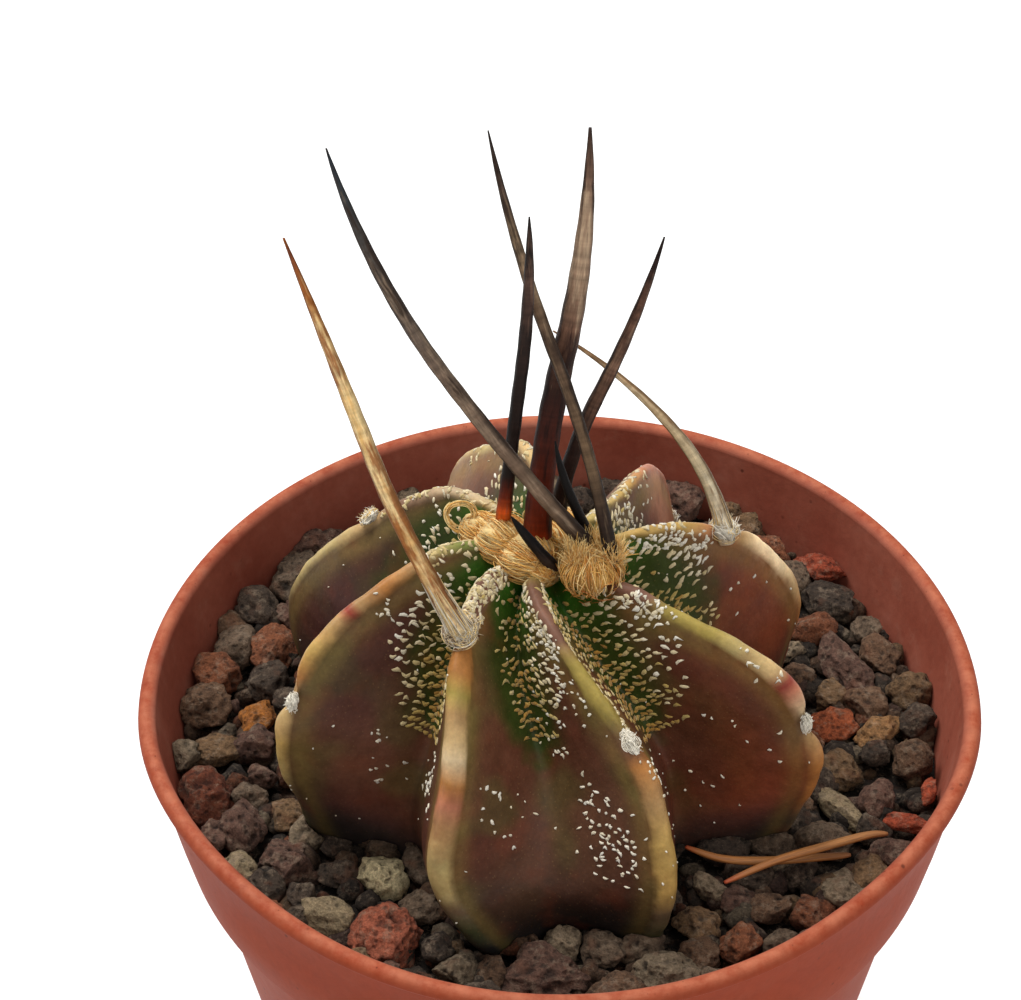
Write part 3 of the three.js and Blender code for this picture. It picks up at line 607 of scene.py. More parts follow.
def ridge_at(rib, step):
    """A rib's ridge at a step: its distance from the axis, height and azimuth in radians."""
    azimuth, twist, reach, at, height, sway, tuck, _ = np.moveaxis(RIB_TABLE[rib], -1, 0)
    point = spline(RIDGE_MERIDIAN, step)
    outward = unit(point)
    share = np.clip(1 - (point[..., 0] - TWIST_INNER_RADIUS) / TWIST_FADE_LENGTH, 0, 1) ** TWIST_FADE_POWER
    share = np.where(step >= WAIST_STEP, 0, share)
    lift = height * bell(step - at, SHOULDER_SPREAD)
    radius = point[..., 0] + outward[..., 0] * lift + reach * bell(step - WAIST_STEP, REACH_SPREAD)
    radius = radius - np.where(step < FIRST_ROOT_STEP, tuck, 0) * smoothstep(step, *TUCK_STEPS)
    turned = azimuth + twist * share + sway * smoothstep(step, *SWAY_STEPS)
    return radius, point[..., 1] + outward[..., 1] * lift, np.radians(turned)


def furrow_at(rib, step):
    """The furrow after a rib, at a step."""
    following = (rib + 1) % RIB_COUNT
    point = spline(FURROW_MERIDIAN, step)
    radius, height, azimuth = ridge_at(rib, step)
    next_radius, next_height, next_azimuth = ridge_at(following, step)
    next_azimuth = next_azimuth + np.where(following == 0, 2 * math.pi, 0)
    fill = RIB_TABLE[rib][..., 7] * smoothstep(step, *FILL_STEPS)
    return (lerp(point[..., 0], (radius + next_radius) / 2, fill),
            lerp(point[..., 1], (height + next_height) / 2, fill),
            (azimuth + next_azimuth) / 2)


def plant_point(turn, step):
    """The plant's surface. turn runs from 0 to 8 round it, with rib a's ridge at 0.5."""
    turn, step = np.broadcast_arrays(np.asarray(turn, float) % RIB_COUNT, np.asarray(step, float))
    rib = np.floor(turn).astype(int)
    side = 2 * (turn - rib) - 1
    ridge = ridge_at(rib, step)
    after = furrow_at(rib, step)
    before = list(furrow_at((rib - 1) % RIB_COUNT, step))
    before[2] = before[2] - np.where(rib == 0, 2 * math.pi, 0)
    radius, height, azimuth = (np.where(side > 0, a, b) for a, b in zip(after, before))
    share = np.abs(side) ** COLUMN_CROWDING
    half_arc = np.maximum(ridge[0] * math.pi / RIB_COUNT, 1e-4)
    rounding = np.minimum(RIDGE_HALF_WIDTH / 2 / half_arc, RIDGE_ROUNDING_LIMIT)
    out = (1 - (np.hypot(share, rounding) - rounding) / (np.hypot(1, rounding) - rounding)) ** FLANK_POWER
    radius, height = lerp(radius, ridge[0], out), lerp(height, ridge[1], out)
    azimuth = lerp(ridge[2], azimuth, share)
    return np.stack([PLANT_X + radius * np.cos(azimuth), radius * np.sin(azimuth), height], -1)


def grid_normals(points):
    down = np.gradient(points, axis=0)
    round_ = (np.roll(points, -1, 1) - np.roll(points, 1, 1)) / 2
    return unit(np.cross(down, round_))


class Skin:
    """The plant's finished surface as a grid, and places on it by turn and step."""

    def __init__(self):
        fine = np.linspace(0.06, FINE_STEPS, FINE_ROWS)
        root = np.linspace(FINE_STEPS + 0.3, LAST_STEP - 0.06, ROOT_ROWS)
        self.steps = np.concatenate([fine, root])
        self.columns = COLUMNS_PER_RIB * RIB_COUNT
        self.turns = np.arange(self.columns) / COLUMNS_PER_RIB
        turn, step = np.meshgrid(self.turns, self.steps)
        self.turn, self.step = turn, step
        smooth = plant_point(turn, step)
        ridge = plant_point(np.floor(turn) + 0.5, step)
        self.ridge_distance = np.linalg.norm(smooth - ridge, axis=-1)
        self.normals = grid_normals(smooth)
        self.points = smooth + self.normals * self.relief(smooth, turn, step)[..., None]
        self.normals = grid_normals(self.points)

    def band(self, points, fade):
        """How much of each point belongs to the ridge's callus band, whose edge fades over a width."""
        edge = self.ridge_distance + layers_at(points, BAND_RAGGEDNESS)
        reach = np.zeros(edge.shape)
        for index, stops in enumerate(BAND_REACH.values()):
            where = np.floor(self.turn).astype(int) == index
            reach[where] = np.interp(self.step[where], *zip(*stops))
        return 1 - smoothstep(edge - reach, -fade / 2, fade / 2)

    def relief(self, points, turn, step):
        """How far the skin stands out from the smooth form."""
        above = 1 - smoothstep(step, *RELIEF_END)
        band = self.band(points, BAND_EDGE)
        self.band_share = self.band(points, BAND_FADE)
        height = band * (BAND_HEIGHT + layers_at(points, BAND_LUMPS))
        height += (1 - band) * layers_at(points, SKIN_WAVES)
        for rib, at, depth in NOTCHES:
            ridge_turn = list(RIBS).index(rib) + 0.5
            near = np.abs(turn - ridge_turn) < 0.5
            beside = self.ridge_distance
            notch = bell(step - at, NOTCH_HALF_LENGTH) * bell(beside, NOTCH_HALF_WIDTH)
            chin = bell(step - at - CHIN_DROP, CHIN_HALF_LENGTH) * bell(beside, CHIN_HALF_WIDTH)
            height += near * depth * (CHIN_SHARE * chin - notch)
        return height * above * smoothstep(step, 0, 1)

    def at(self, turn, step):
        """The point, normal, direction down and direction across at places on the skin."""
        column = (np.asarray(turn, float) % RIB_COUNT) * COLUMNS_PER_RIB
        row = np.interp(step, self.steps, np.arange(len(self.steps)))
        left, top = np.floor(column).astype(int), np.minimum(np.floor(row).astype(int), len(self.steps) - 2)
        across, down = (column - left)[..., None], (row - top)[..., None]
        right = (left + 1) % self.columns
        left = left % self.columns

        def blended(grid):
            upper = lerp(grid[top, left], grid[top, right], across)
            lower = lerp(grid[top + 1, left], grid[top + 1, right], across)
            return lerp(upper, lower, down)

        point, normal = blended(self.points), unit(blended(self.normals))
        along = unit(self.points[top + 1, left] - self.points[top, left])
        sideways = unit(np.cross(normal, along))
        return point, normal, np.cross(sideways, normal), sideways


def band_colors(turn, step):
    """The colour of the nearest ridge band at each place."""
    colors = np.zeros(np.shape(turn) + (3,))
    for index, stops in enumerate(BANDS.values()):
        where = np.floor(turn).astype(int) == index
        steps = [stop for stop, _ in stops]
        shades = np.array([swatch(name) for _, name in stops])
        for channel in range(3):
            colors[where, channel] = np.interp(step[where], steps, shades[:, channel])
    return colors


def blend_color(colors, name, share):
    return lerp(colors, swatch(name), np.clip(share, 0, 1)[..., None])


def green_share(turn, step):
    """How much a place belongs to the green, furrow side of a flank."""
    stretch = 1 + sum(more * bell(turn - middle, GREENER_SPREAD) for middle, more in GREENER_TURNS)
    to_furrow = np.abs(turn - np.round(turn)) / stretch
    reach = np.interp(step, *zip(*GREEN_REACH))
    return 1 - smoothstep(to_furrow, reach - 0.09, reach + 0.07)


def skin_colors(skin):
    turn, step, points = skin.turn, skin.step, skin.points
    wide, mid, small = (noise_at(points, size, seed) for size, seed in ((7, 11), (3.2, 12), (1.1, 13)))
    colors = np.zeros(points.shape) + swatch("brown")
    colors = blend_color(colors, "maroon", 0.55 + 0.9 * wide)
    colors = blend_color(colors, "olive_brown", smoothstep(mid, 0.0, 0.45) * 0.7)
    right_side = smoothstep(points[..., 0], 5, 15)
    colors = blend_color(colors, "red_brown", right_side * (0.6 + 0.5 * mid))
    back_side = smoothstep(points[..., 1], 7.5, 13)
    rosy = back_side * (0.25 + 0.6 * bell(turn - 4.2, 0.35) * (1 - smoothstep(step, 5, 8)))
    colors = blend_color(colors, "dusty_rose", rosy * (1 + 0.5 * mid))
    left_side = smoothstep(-points[..., 0], 4, 14)
    colors = blend_color(colors, "purple", left_side * (0.35 + 0.6 * wide))
    colors = blend_color(colors, "purple", smoothstep(step, 7.2, 9) * (0.5 + 0.5 * mid))
    colors = blend_color(colors, "blue_black", smoothstep(step + 0.5 * wide, 8.0, 9.6) * 0.9)
    # Painted light and shade: patches of the flanks made paler or darker
    painted_light = 0.0
    for (lit_turn, turn_spread), (lit_step, step_spread), gain in PAINTED_LIGHT_PATCHES:
        painted_light = painted_light + gain * bell(turn - lit_turn, turn_spread) * bell(step - lit_step, step_spread)
    colors = colors * (1 + painted_light)[..., None]
    green = green_share(turn + 0.05 * mid, step + 0.4 * small)
    colors = blend_color(colors, "green", green * 0.95)
    colors = blend_color(colors, "bright_green", green * smoothstep(3.4 - step, 0, 1.6) * 0.7)
    # Painted shade down the bottoms of the furrows, on the upper part of the plant
    furrow_shade = bell(turn - np.round(turn), 0.07) * (1 - smoothstep(step, 4.6, 6))
    colors = colors * (1 - 0.3 * furrow_shade)[..., None]
    colors = blend_color(colors, "olive", 0.25 * bell(skin.ridge_distance - 1.5, 0.8) * (1 - green))
    band = skin.band_share[..., None]
    bands = band_colors(turn, step + 0.12 * mid) * (1 + 0.16 * small)[..., None]
    return lerp(colors, bands, band)


def body(skin):
    rows = len(skin.steps)
    points = skin.points.reshape(-1, 3)
    poles = plant_point(np.zeros(2), np.array([0.0, LAST_STEP]))
    colors = skin_colors(skin).reshape(-1, 3)
    pole_colors = np.array([swatch("green"), swatch("brown")])
    triangles = np.concatenate([grid_triangles(rows, skin.columns), end_fans(rows, skin.columns)])
    made = piece("cactus_skin", np.concatenate([points, poles]), triangles, skin_material(),
                 {"tone": np.concatenate([colors, pole_colors])})
    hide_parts("cactus_body")


# Flecks: tiny tufts of white to rusty hair on the skin

FLECK_WHITE = (236, 230, 214)
FLECK_CREAM = (222, 204, 162)
FLECK_TAN = (186, 160, 88)
FLECK_RUST = (164, 118, 40)
FLECK_SIDES = 8
FLECK_LEVELLING = 1.2
FLECK_HEIGHTS = (0.04, 0.09)
# Flecks by kind: half lengths, half widths and the spread of their tilt in radians
FURROW_FLECK_SIZES = ((0.22, 0.46), (0.12, 0.21), 0.25)
PATCH_FLECK_SIZES = ((0.13, 0.28), (0.09, 0.16), 0.6)
STRAY_FLECK_SIZES = ((0.06, 0.15), (0.05, 0.12), 1.0)
CRUST_FLAKE_SIZES = ((0.14, 0.38), (0.09, 0.2), 1.4)
# Lobes of a fleck's outline: how many, and how deep at most
FLECK_LOBES = ((2, 0.22), (3, 0.26), (4, 0.14))

# Furrows with their flecks: how far they reach into the flank before and after, from step to step,
# and how white the outermost are on either side
FURROW_FLECKS = [
    (0.3, 0.3, 2.4, 5.9, 0.9, 0.9), (0.2, 0.38, 1.9, 5.3, 0.4, 0.95), (0.4, 0.36, 2.0, 5.8, 0.4, 0.95),
    (0.33, 0.36, 2.3, 5.6, 0.9, 0.95), (0.3, 0.36, 2.2, 5.0, 0.9, 0.9), (0.33, 0.33, 2.0, 5.2, 0.9, 0.9),
    (0.33, 0.33, 2.0, 5.2, 0.9, 0.9), (0.28, 0.3, 2.6, 4.4, 0.7, 0.9),
]

# Loose patches: centre (turn, step), spread (turn, step) and how many
FLECK_PATCHES = [
    ((1.22, 7.3), (0.055, 0.42), 46), ((1.28, 7.6), (0.04, 0.3), 20), ((1.17, 6.7), (0.02, 0.25), 12),
    ((0.85, 7.1), (0.08, 0.25), 7), ((0.70, 6.4), (0.05, 0.25), 6), ((1.25, 4.75), (0.07, 0.25), 16),
    ((1.36, 4.7), (0.03, 0.2), 9), ((1.12, 5.4), (0.03, 0.2), 7), ((1.58, 6.3), (0.04, 0.3), 14),
    ((1.30, 3.3), (0.05, 0.6), 22), ((1.37, 3.5), (0.03, 0.5), 14), ((2.38, 3.5), (0.03, 0.25), 9),
    ((2.44, 3.6), (0.05, 0.25), 14), ((2.2, 6.6), (0.1, 0.5), 8), ((2.42, 5.8), (0.04, 0.5), 8),
    ((3.38, 3.6), (0.025, 0.55), 36), ((3.30, 6.2), (0.06, 0.4), 5), ((4.22, 3.6), (0.06, 0.7), 40),
    ((5.35, 3.4), (0.06, 0.7), 30), ((6.74, 3.6), (0.05, 0.6), 22), ((7.63, 4.35), (0.03, 0.15), 8),
    ((7.80, 6.35), (0.04, 0.15), 5), ((7.88, 7.1), (0.04, 0.25), 7), ((0.15, 6.7), (0.06, 0.3), 24),
]
STRAY_FLECKS = 220
STRAY_STEPS = (3, 9)
# Between the rows of a furrow, and between the flecks of a row, in millimetres
ROW_GAP = 0.57
TUFT_GAP = 0.53

# Corky crust along the ridges: rib, distance beside the ridge and its spread, steps, flakes and whiteness
CRUSTS = [
    ("a", (0.1, 0.75), (1.1, 3.3), 230, 0.62), ("a", (-0.9, 0.15), (1.6, 3.4), 50, 0.75),
    ("b", (0.95, 0.13), (1.5, 5.6), 110, 0.6), ("b", (-0.85, 0.25), (1.4, 3.8), 34, 0.66),
    ("c", (-0.7, 0.4), (2.9, 3.9), 15, 0.85), ("c", (0.4, 0.4), (2.6, 3.6), 8, 0.75),
    ("d", (0.0, 0.6), (2.0, 3.9), 22, 0.75), ("d", (-1.5, 0.18), (2.2, 4.4), 26, 0.9),
    ("g", (0.1, 0.4), (1.8, 5.0), 60, 0.6),
    ("h", (0.0, 0.6), (1.9, 3.3), 60, 0.6), ("f", (0.0, 0.7), (2.0, 5.5), 60, 0.6),
    ("e", (0.0, 0.6), (2.0, 5.0), 50, 0.6),
]


def furrow_places(random):
    """Rows of tufts across each furrow's flanks: turn, step and whiteness."""
    found = []
    for furrow, (before, after, top, bottom, white_before, white_after) in enumerate(FURROW_FLECKS):
        for side, reach, white in ((-1, before, white_before), (1, after, white_after)):
            step = top
            while step < bottom:
                start, end = (plant_point(furrow + side * way * reach, step) for way in (0.02, 1.0))
                width = np.linalg.norm(end - start)
                count = max(int(width / TUFT_GAP), 1)
                narrowing = 1 - 0.55 * smoothstep(step, lerp(top, bottom, 0.55), bottom)
                for i in range(count):
                    out = (i + random.uniform(0.1, 0.9)) / count
                    clump = noise.noise(Vector((furrow * 9.1 + side * out * 2.2, step * 1.6, 3.3)))
                    if out > narrowing or random.random() > 0.88 + 0.9 * clump:
                        continue
                    near_step = step + random.uniform(-0.04, 0.04)
                    found.append((furrow + side * out * reach, near_step, out * white))
                middle = furrow + side * 0.5 * reach
                step_way = (plant_point(middle, step + 0.1) - plant_point(middle, step)) / 0.1
                step += ROW_GAP / np.linalg.norm(step_way) * random.uniform(0.85, 1.15)
    return np.array(found)


def fleck_solids(skin, turn, step, half_length, half_width, tilt, random):
    """Low curved tufts with ragged outlines, set on the skin. They lie across the ribs unless tilted."""
    point, normal, along, across = skin.at(turn, step)
    count = len(turn)
    level = np.cross((0, 0, 1), normal)
    level *= np.sign(np.sum(level * across, 1, keepdims=True))
    across = unit(across + FLECK_LEVELLING * level)
    along = np.cross(normal, across)
    angle = 2 * math.pi * np.arange(FLECK_SIDES) / FLECK_SIDES
    ragged = 1 + random.uniform(-0.06, 0.06, (count, FLECK_SIDES))
    for waves, depth in FLECK_LOBES:
        swell = random.uniform(0, depth, (count, 1))
        ragged += swell * np.cos(waves * angle + random.uniform(0, 7, (count, 1)))
    x = np.cos(angle) * ragged * half_length[:, None]
    y = np.sin(angle) * ragged * half_width[:, None]
    y = y + random.normal(0, 0.3, (count, 1)) * x**2 / half_length[:, None]
    turned_x = x * np.cos(tilt)[:, None] - y * np.sin(tilt)[:, None]
    turned_y = x * np.sin(tilt)[:, None] + y * np.cos(tilt)[:, None]
    flat = turned_x[..., None] * across[:, None] + turned_y[..., None] * along[:, None]
    height = random.uniform(*FLECK_HEIGHTS, count)[:, None, None] * normal[:, None]
    outer = point[:, None] + flat - 0.06 * normal[:, None]
    inner = point[:, None] + 0.7 * flat + height * random.uniform(0.6, 1.0, (count, FLECK_SIDES, 1))
    top = point[:, None] + height * 1.15
    under = point[:, None] - 0.1 * normal[:, None]
    points = np.concatenate([inner, outer, top, under], 1)
    faces = np.concatenate([grid_triangles(2, FLECK_SIDES), end_fans(2, FLECK_SIDES)])
    offsets = np.arange(count)[:, None, None] * points.shape[1]
    return points.reshape(-1, 3), (faces[None] + offsets).reshape(-1, 3), points.shape[1]


def fleck_colors(whiteness, random):
    """A colour for each fleck, from rusty over tan and cream to white."""
    stops = np.array([linear(c) for c in (FLECK_RUST, FLECK_TAN, FLECK_CREAM, FLECK_WHITE)])
    where = np.clip(whiteness, 0, 1) * 3
    mixed = np.stack([np.interp(where, range(4), stops[:, channel]) for channel in range(3)], -1)
    return mixed * random.uniform(0.82, 1.12, (len(whiteness), 1))


def turn_beside(rib, step, distance):
    """The turn at a distance in millimetres to the side of a rib's ridge."""
    ridge_turn = list(RIBS).index(rib) + 0.5
    away = np.linspace(0, 0.35, 30)
    line = plant_point(ridge_turn + math.copysign(1, distance) * away, step)
    reached = np.linalg.norm(line - line[0], axis=-1)
    return ridge_turn + math.copysign(1, distance) * np.interp(abs(distance), reached, away)


def crust_places(random):
    """Flakes of corky crust along the ridges: turn, step and whiteness."""
    found = []
    for rib, (middle, spread), (top, bottom), count, whiteness in CRUSTS:
        for _ in range(count):
            step = random.uniform(top, bottom)
            distance = random.normal(middle, spread)
            found.append((turn_beside(rib, step, distance), step, random.normal(whiteness, 0.12)))
    return np.array(found)


def flecks(skin):
    random = np.random.default_rng(7)
    furrow = furrow_places(random)
    crust = crust_places(random)
    whiteness = 0.03 + furrow[:, 2] + random.normal(0, 0.12, len(furrow))
    kinds = [(furrow[:, 0], furrow[:, 1], whiteness, *FURROW_FLECK_SIZES)]
    for (turn, step), (turn_spread, step_spread), count in FLECK_PATCHES:
        turns, steps = random.normal(turn, turn_spread, count), random.normal(step, step_spread, count)
        kinds.append((turns, steps, random.uniform(0.8, 1.0, count), *PATCH_FLECK_SIZES))
    turns, steps = random.uniform(0, RIB_COUNT, STRAY_FLECKS), random.uniform(*STRAY_STEPS, STRAY_FLECKS)
    kinds.append((turns, steps, random.uniform(0.75, 1.0, STRAY_FLECKS), *STRAY_FLECK_SIZES))
    kinds.append((crust[:, 0], crust[:, 1], crust[:, 2], *CRUST_FLAKE_SIZES))
    turn, step, white = (np.concatenate([kind[part] for kind in kinds]) for part in range(3))
    lengths, widths, tilts = ([], [], [])
    for where, _, _, length, width, tilt in kinds:
        lengths.append(random.uniform(*length, len(where)))
        widths.append(random.uniform(*width, len(where)))
        tilts.append(random.normal(0, tilt, len(where)))
    sizes = (np.concatenate(part) for part in (lengths, widths, tilts))
    points, triangles, per_fleck = fleck_solids(skin, turn, step, *sizes, random)
    colors = np.repeat(fleck_colors(white, random), per_fleck, 0)
    made = piece("skin_flecks", points, triangles, fleck_material(), {"tone": colors})


# Wool

STRAW = (228, 176, 90)
GOLD = (206, 134, 46)
RUSTY = (184, 100, 26)
PALE_WOOL = (248, 216, 148)
GREY_WOOL = (196, 176, 144)
BARK = (128, 102, 74)
WHITE_WOOL = (244, 236, 218)
# How rough a felted lump is, and a white one
FELT_SHAG = 0.22
WHITE_SHAG = 0.5
# How large the felted core is beside the tuft round it
CORE_SHARE = 0.88
COLLAR_CORE_SHARE = 0.85
CROWN_CORE_SHARE = 0.96
# Points along a fibre that lies, stands, runs round in a ring, or climbs up a spine
LYING_STEPS = 8
STANDING_STEPS = 7
RING_STEPS = 10
CLIMBING_STEPS = 14
FIBRE_SIDES = 3


def wool_frame(rib, at, sink):
    """The centre and the directions along the ridge, across it and outwards, for an areole's wool."""
    ridge_turn = np.array([list(RIBS).index(rib) + 0.5])
    centre, ahead = (plant_point(ridge_turn, np.array([step]))[0] for step in (at, at + 0.2))
    azimuth = ridge_at(np.array([list(RIBS).index(rib)]), np.array([at]))[2][0]
    along = unit(ahead - centre)
    across = np.array([-math.sin(azimuth), math.cos(azimuth), 0])
    across = unit(across - along * across.dot(along))
    outward = np.cross(along, across)
    if outward[2] < 0:
        outward = -outward
    across = np.cross(outward, along)
    return centre + outward * sink, np.stack([along, across, outward])


def wool_core(centre, axes, radii, color, seed, shag=FELT_SHAG):
    """A felted lump."""
    points, triangles = BALLS[4]
    swell = 1 + shag * noise_at(points, 0.6, seed) + 0.6 * shag * noise_at(points, 0.2, seed + 1)
    placed = centre + (points * swell[:, None] * radii) @ axes
    shade = 0.72 + 0.4 * noise_at(points, 0.4, seed + 2)
    return placed, triangles, {"tone": linear(color) * shade[:, None]}


def strands(routes, colors, width, random):
    """Thin fibres along routes, each with its own shade."""
    count, steps, _ = routes.shape
    taper = np.sin(np.linspace(0.3, math.pi - 0.1, steps)) ** 0.6
    widths = width * random.uniform(0.6, 1.4, (count, 1)) * taper
    points, triangles = tubes(routes, widths, widths, FIBRE_SIDES, unit(random.normal(size=(count, 3))))
    pick = random.integers(0, len(colors), count)
    shades = np.array([linear(c) for c in colors])[pick] * random.uniform(0.85, 1.15, (count, 1))
    return points, triangles, {"tone": np.repeat(shades, len(points) // count, 0)}


def combed_fibres(centre, axes, radii, random, count, length, colors, pull, spread, width, swirling=0.5):
    """Fibres lying over a lump towards a direction in the lump's own axes."""
    place = unit(random.normal(size=(count, 3)) + (0, 0, 0.35))
    heading = unit(np.asarray(pull, float) + spread * random.normal(size=(count, 3)))
    swirl = random.normal(0, swirling, (count, 3))
    height = random.uniform(0.94, 1.08, count)
    stand = random.uniform(0.0, 0.5, count) ** 2
    reach = length * random.uniform(0.5, 1.1, count) / np.mean(radii)
    routes = []
    for way in np.linspace(0, 1, LYING_STEPS):
        routes.append(place * (height + stand * way**2)[:, None])
        tangent = heading + swirl * way
        tangent = unit(tangent - place * np.sum(tangent * place, 1, keepdims=True))
        place = unit(place + tangent * (reach / LYING_STEPS)[:, None])
    return strands(centre + (np.stack(routes, 1) * radii) @ axes, colors, width, random)


def tufted_fibres(centre, axes, radii, random, count, length, colors, lean, curl, width):
    """Fibres standing out of a lump, leaning towards a direction in the frame."""
    place = random.normal(size=(count, 3)) * (1, 1, 0.8)
    place[:, 2] = np.abs(place[:, 2])
    place = unit(place)
    routes = [centre + (place * 0.7 * radii) @ axes]
    outward = unit((place / radii) @ axes)
    heading = unit(0.75 * outward + np.asarray(lean, float) + 0.3 * random.normal(size=(count, 3)))
    bend = random.normal(0, curl, (count, 3))
    stride = length * random.uniform(0.45, 1.15, (count, 1)) / STANDING_STEPS
    for _ in range(STANDING_STEPS):
        heading = unit(heading + bend / STANDING_STEPS)
        routes.append(routes[-1] + heading * stride)
    return strands(np.stack(routes, 1), colors, width, random)


def ring_fibres(centre, axes, radius, random, count, colors, rise):
    """Torn fibres that run round in a ring."""
    start = random.uniform(0, 2 * math.pi, (count, 1))
    turn = start + random.uniform(0.7, 2.2, (count, 1)) * np.linspace(0, 1, RING_STEPS)
    reach = radius * random.uniform(0.78, 1.2, (count, 1)) * (1 + 0.08 * np.sin(2 * turn + start))
    height = random.uniform(-0.6, 1.0, (count, 1)) * rise + 0.12 * np.sin(2 * turn)
    flat = np.stack([reach * np.cos(turn), reach * np.sin(turn), height], -1)
    return strands(centre + flat @ axes, colors, TORN_WIDTH, random)


# Wool on the areoles: rib, step, radii, height of its middle, core colour, fibre colours,
# how many fibres stand and lie, and their length
AREOLE_WOOL = {
    "wool_a": ("a", 3.75, (1.3, 1.2, 0.7), 0.1, BARK, (GREY_WOOL, PALE_WOOL, GREY_WOOL), 110, 160, 0.8),
    "wool_b": ("b", 5.65, (0.9, 0.42, 0.28), 0.05, WHITE_WOOL, (WHITE_WOOL, WHITE_WOOL), 40, 100, 0.5),
    "wool_c_young": ("c", 1.9, (2.0, 2.0, 1.4), 0.3, STRAW, (STRAW, GOLD, STRAW, PALE_WOOL), 60, 60, 0.8),
    "wool_c_old": ("c", 6.8, (0.75, 0.5, 0.34), -0.5, WHITE_WOOL, (WHITE_WOOL, WHITE_WOOL), 20, 110, 0.4),
    "wool_d": ("d", 4.75, (1.0, 0.8, 0.5), 0.1, GREY_WOOL, (GREY_WOOL, WHITE_WOOL, WHITE_WOOL),
               30, 160, 0.8),
    "wool_e": ("e", 8.2, (0.8, 0.7, 0.4), 0.1, GREY_WOOL, (GREY_WOOL, WHITE_WOOL), 40, 40, 0.5),
    "wool_f": ("f", 8.4, (0.8, 0.7, 0.4), 0.1, GREY_WOOL, (GREY_WOOL, WHITE_WOOL), 40, 40, 0.5),
    "wool_g": ("g", 5.3, (0.8, 0.7, 0.4), 0.1, WHITE_WOOL, (WHITE_WOOL, PALE_WOOL), 60, 40, 0.6),
    "wool_h": ("h", 6.45, (0.85, 0.5, 0.34), -0.55, WHITE_WOOL, (WHITE_WOOL, WHITE_WOOL), 20, 110, 0.4),
}
# Torn rings round old areoles: radius, fibres and colours
TORN_RINGS = {
    "wool_a": (1.1, 60, (WHITE_WOOL, PALE_WOOL, GREY_WOOL)),
    "wool_b": (0.55, 24, (WHITE_WOOL, WHITE_WOOL)),
}
# Fibres that run up the feet of old spines: the spine, how many, and how far up they run
FOOT_STRANDS = {"wool_a": ("spine_a", 70, 5.0), "wool_d": ("spine_d", 50, 3.0)}
# Wool in a collar round a spine's foot: the spine, and the collar's radii
FOOT_COLLARS = {"wool_a": ("spine_a", (1.15, 1.05, 0.5)), "wool_d": ("spine_d", (1.05, 0.95, 0.75))}
TORN_WIDTH = 0.035
TORN_RISE = 0.25
# Fibres that lie over a lump: how many, length, colours, pull, spread of the headings, width and swirl.
# For an areole the first three are in its own row.
AREOLE_LYING = ((-0.5, 0, 0.9), 0.75, 0.03)
COLLAR_LYING = (140, 1.2, (WHITE_WOOL, WHITE_WOOL, PALE_WOOL), (0, 0.6, 0.5), 0.8, 0.024)
YOUNG_SKIRT = (90, 1.6, (RUSTY, GOLD, RUSTY), (0.2, 1, 0), 0.7, 0.024)
YOUNG_SHEAF = (560, 3.2, (STRAW, GOLD, STRAW, PALE_WOOL), (0, 0.1, 1), 0.14, 0.03, 0.15)
CROWN_COLORS = (STRAW, PALE_WOOL, STRAW, GOLD)
CROWN_LYING = (360, 4.0, CROWN_COLORS, (0.8, -0.75, 0.1), 0.16, 0.032, 0.2)
# Fibres that stand out of a lump: how many, length, colours, lean, curl and width
AREOLE_STANDING = ((0, 0, 0.45), 0.9, 0.026)
CROWN_STANDING = (80, 0.9, CROWN_COLORS, (-0.2, -0.2, 0.5), 0.9, 0.022)
# The young straw tuft's upright sides: how far each is from its middle, its lean and its fibres
TUFT_SIDES = [((-1.0, 0.2, 0.3), (-0.1, -0.1, 1.9), 300), ((1.3, 0.3, 0.4), (0.12, 0, 1.9), 420),
              ((0.3, 1.2, 0.4), (0, 0.2, 1.9), 260)]
TUFT_SIDE_RADII = np.array((0.75, 0.75, 1.2))
# The crown's wool: the place and radius of each mound, and of the torn loop at its left
CROWN_MOUNDS = [
    ((-5.3, 1.4, 13.2), 1.5), ((-3.8, 0.3, 13.6), 1.9), ((-2.4, -1.0, 13.3), 2.0),
    ((-1.3, -2.2, 13.0), 1.25), ((-1.2, 0.6, 12.9), 1.9), ((0.1, 2.2, 12.8), 1.7),
]
CROWN_FLATNESS = 0.75
CROWN_LOOP = ((-6.7, 1.8, 14.3), 0.95)
CROWN_LOOP_AXES = np.array([[1, 0, 0], [0, 0.45, 0.9], [0, -0.9, 0.45]])
CROWN_LOOP_FIBRES = 110
CROWN_LOOP_RISE = 0.3


def foot_strands(name, count, height, colors, random):
    """Torn fibres that cling to the foot of a spine."""
    route, way, half, side, facing = spine_form(name)
    length = SPINES[name][2]
    rising = np.linspace(0, 1, CLIMBING_STEPS)
    top = random.uniform(0.3, 1.0, (count, 1)) * height / length
    along = top * rising
    spot = np.stack([np.interp(along, way[1:], route[1:, axis]) for axis in range(3)], -1)
    fraying = 0.1 * random.random((count, 1)) * rising[::-1]
    reach = np.interp(along, way[1:], half[1:]) * (1.02 + fraying)
    start = random.uniform(0, 2 * math.pi, (count, 1))
    turn = start + random.normal(0, 0.35, (count, 1)) * rising
    offset = side * (np.cos(turn) * reach)[..., None]
    offset = offset + facing * (np.sin(turn) * reach * SPINE_FLATNESS)[..., None]
    return strands(spot + offset, colors, TORN_WIDTH, random)


def wool_piece(name, parts, material, node):
    points, triangles, values = joined(parts)
    made = piece(name, points, triangles, material, values)
    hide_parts(node)


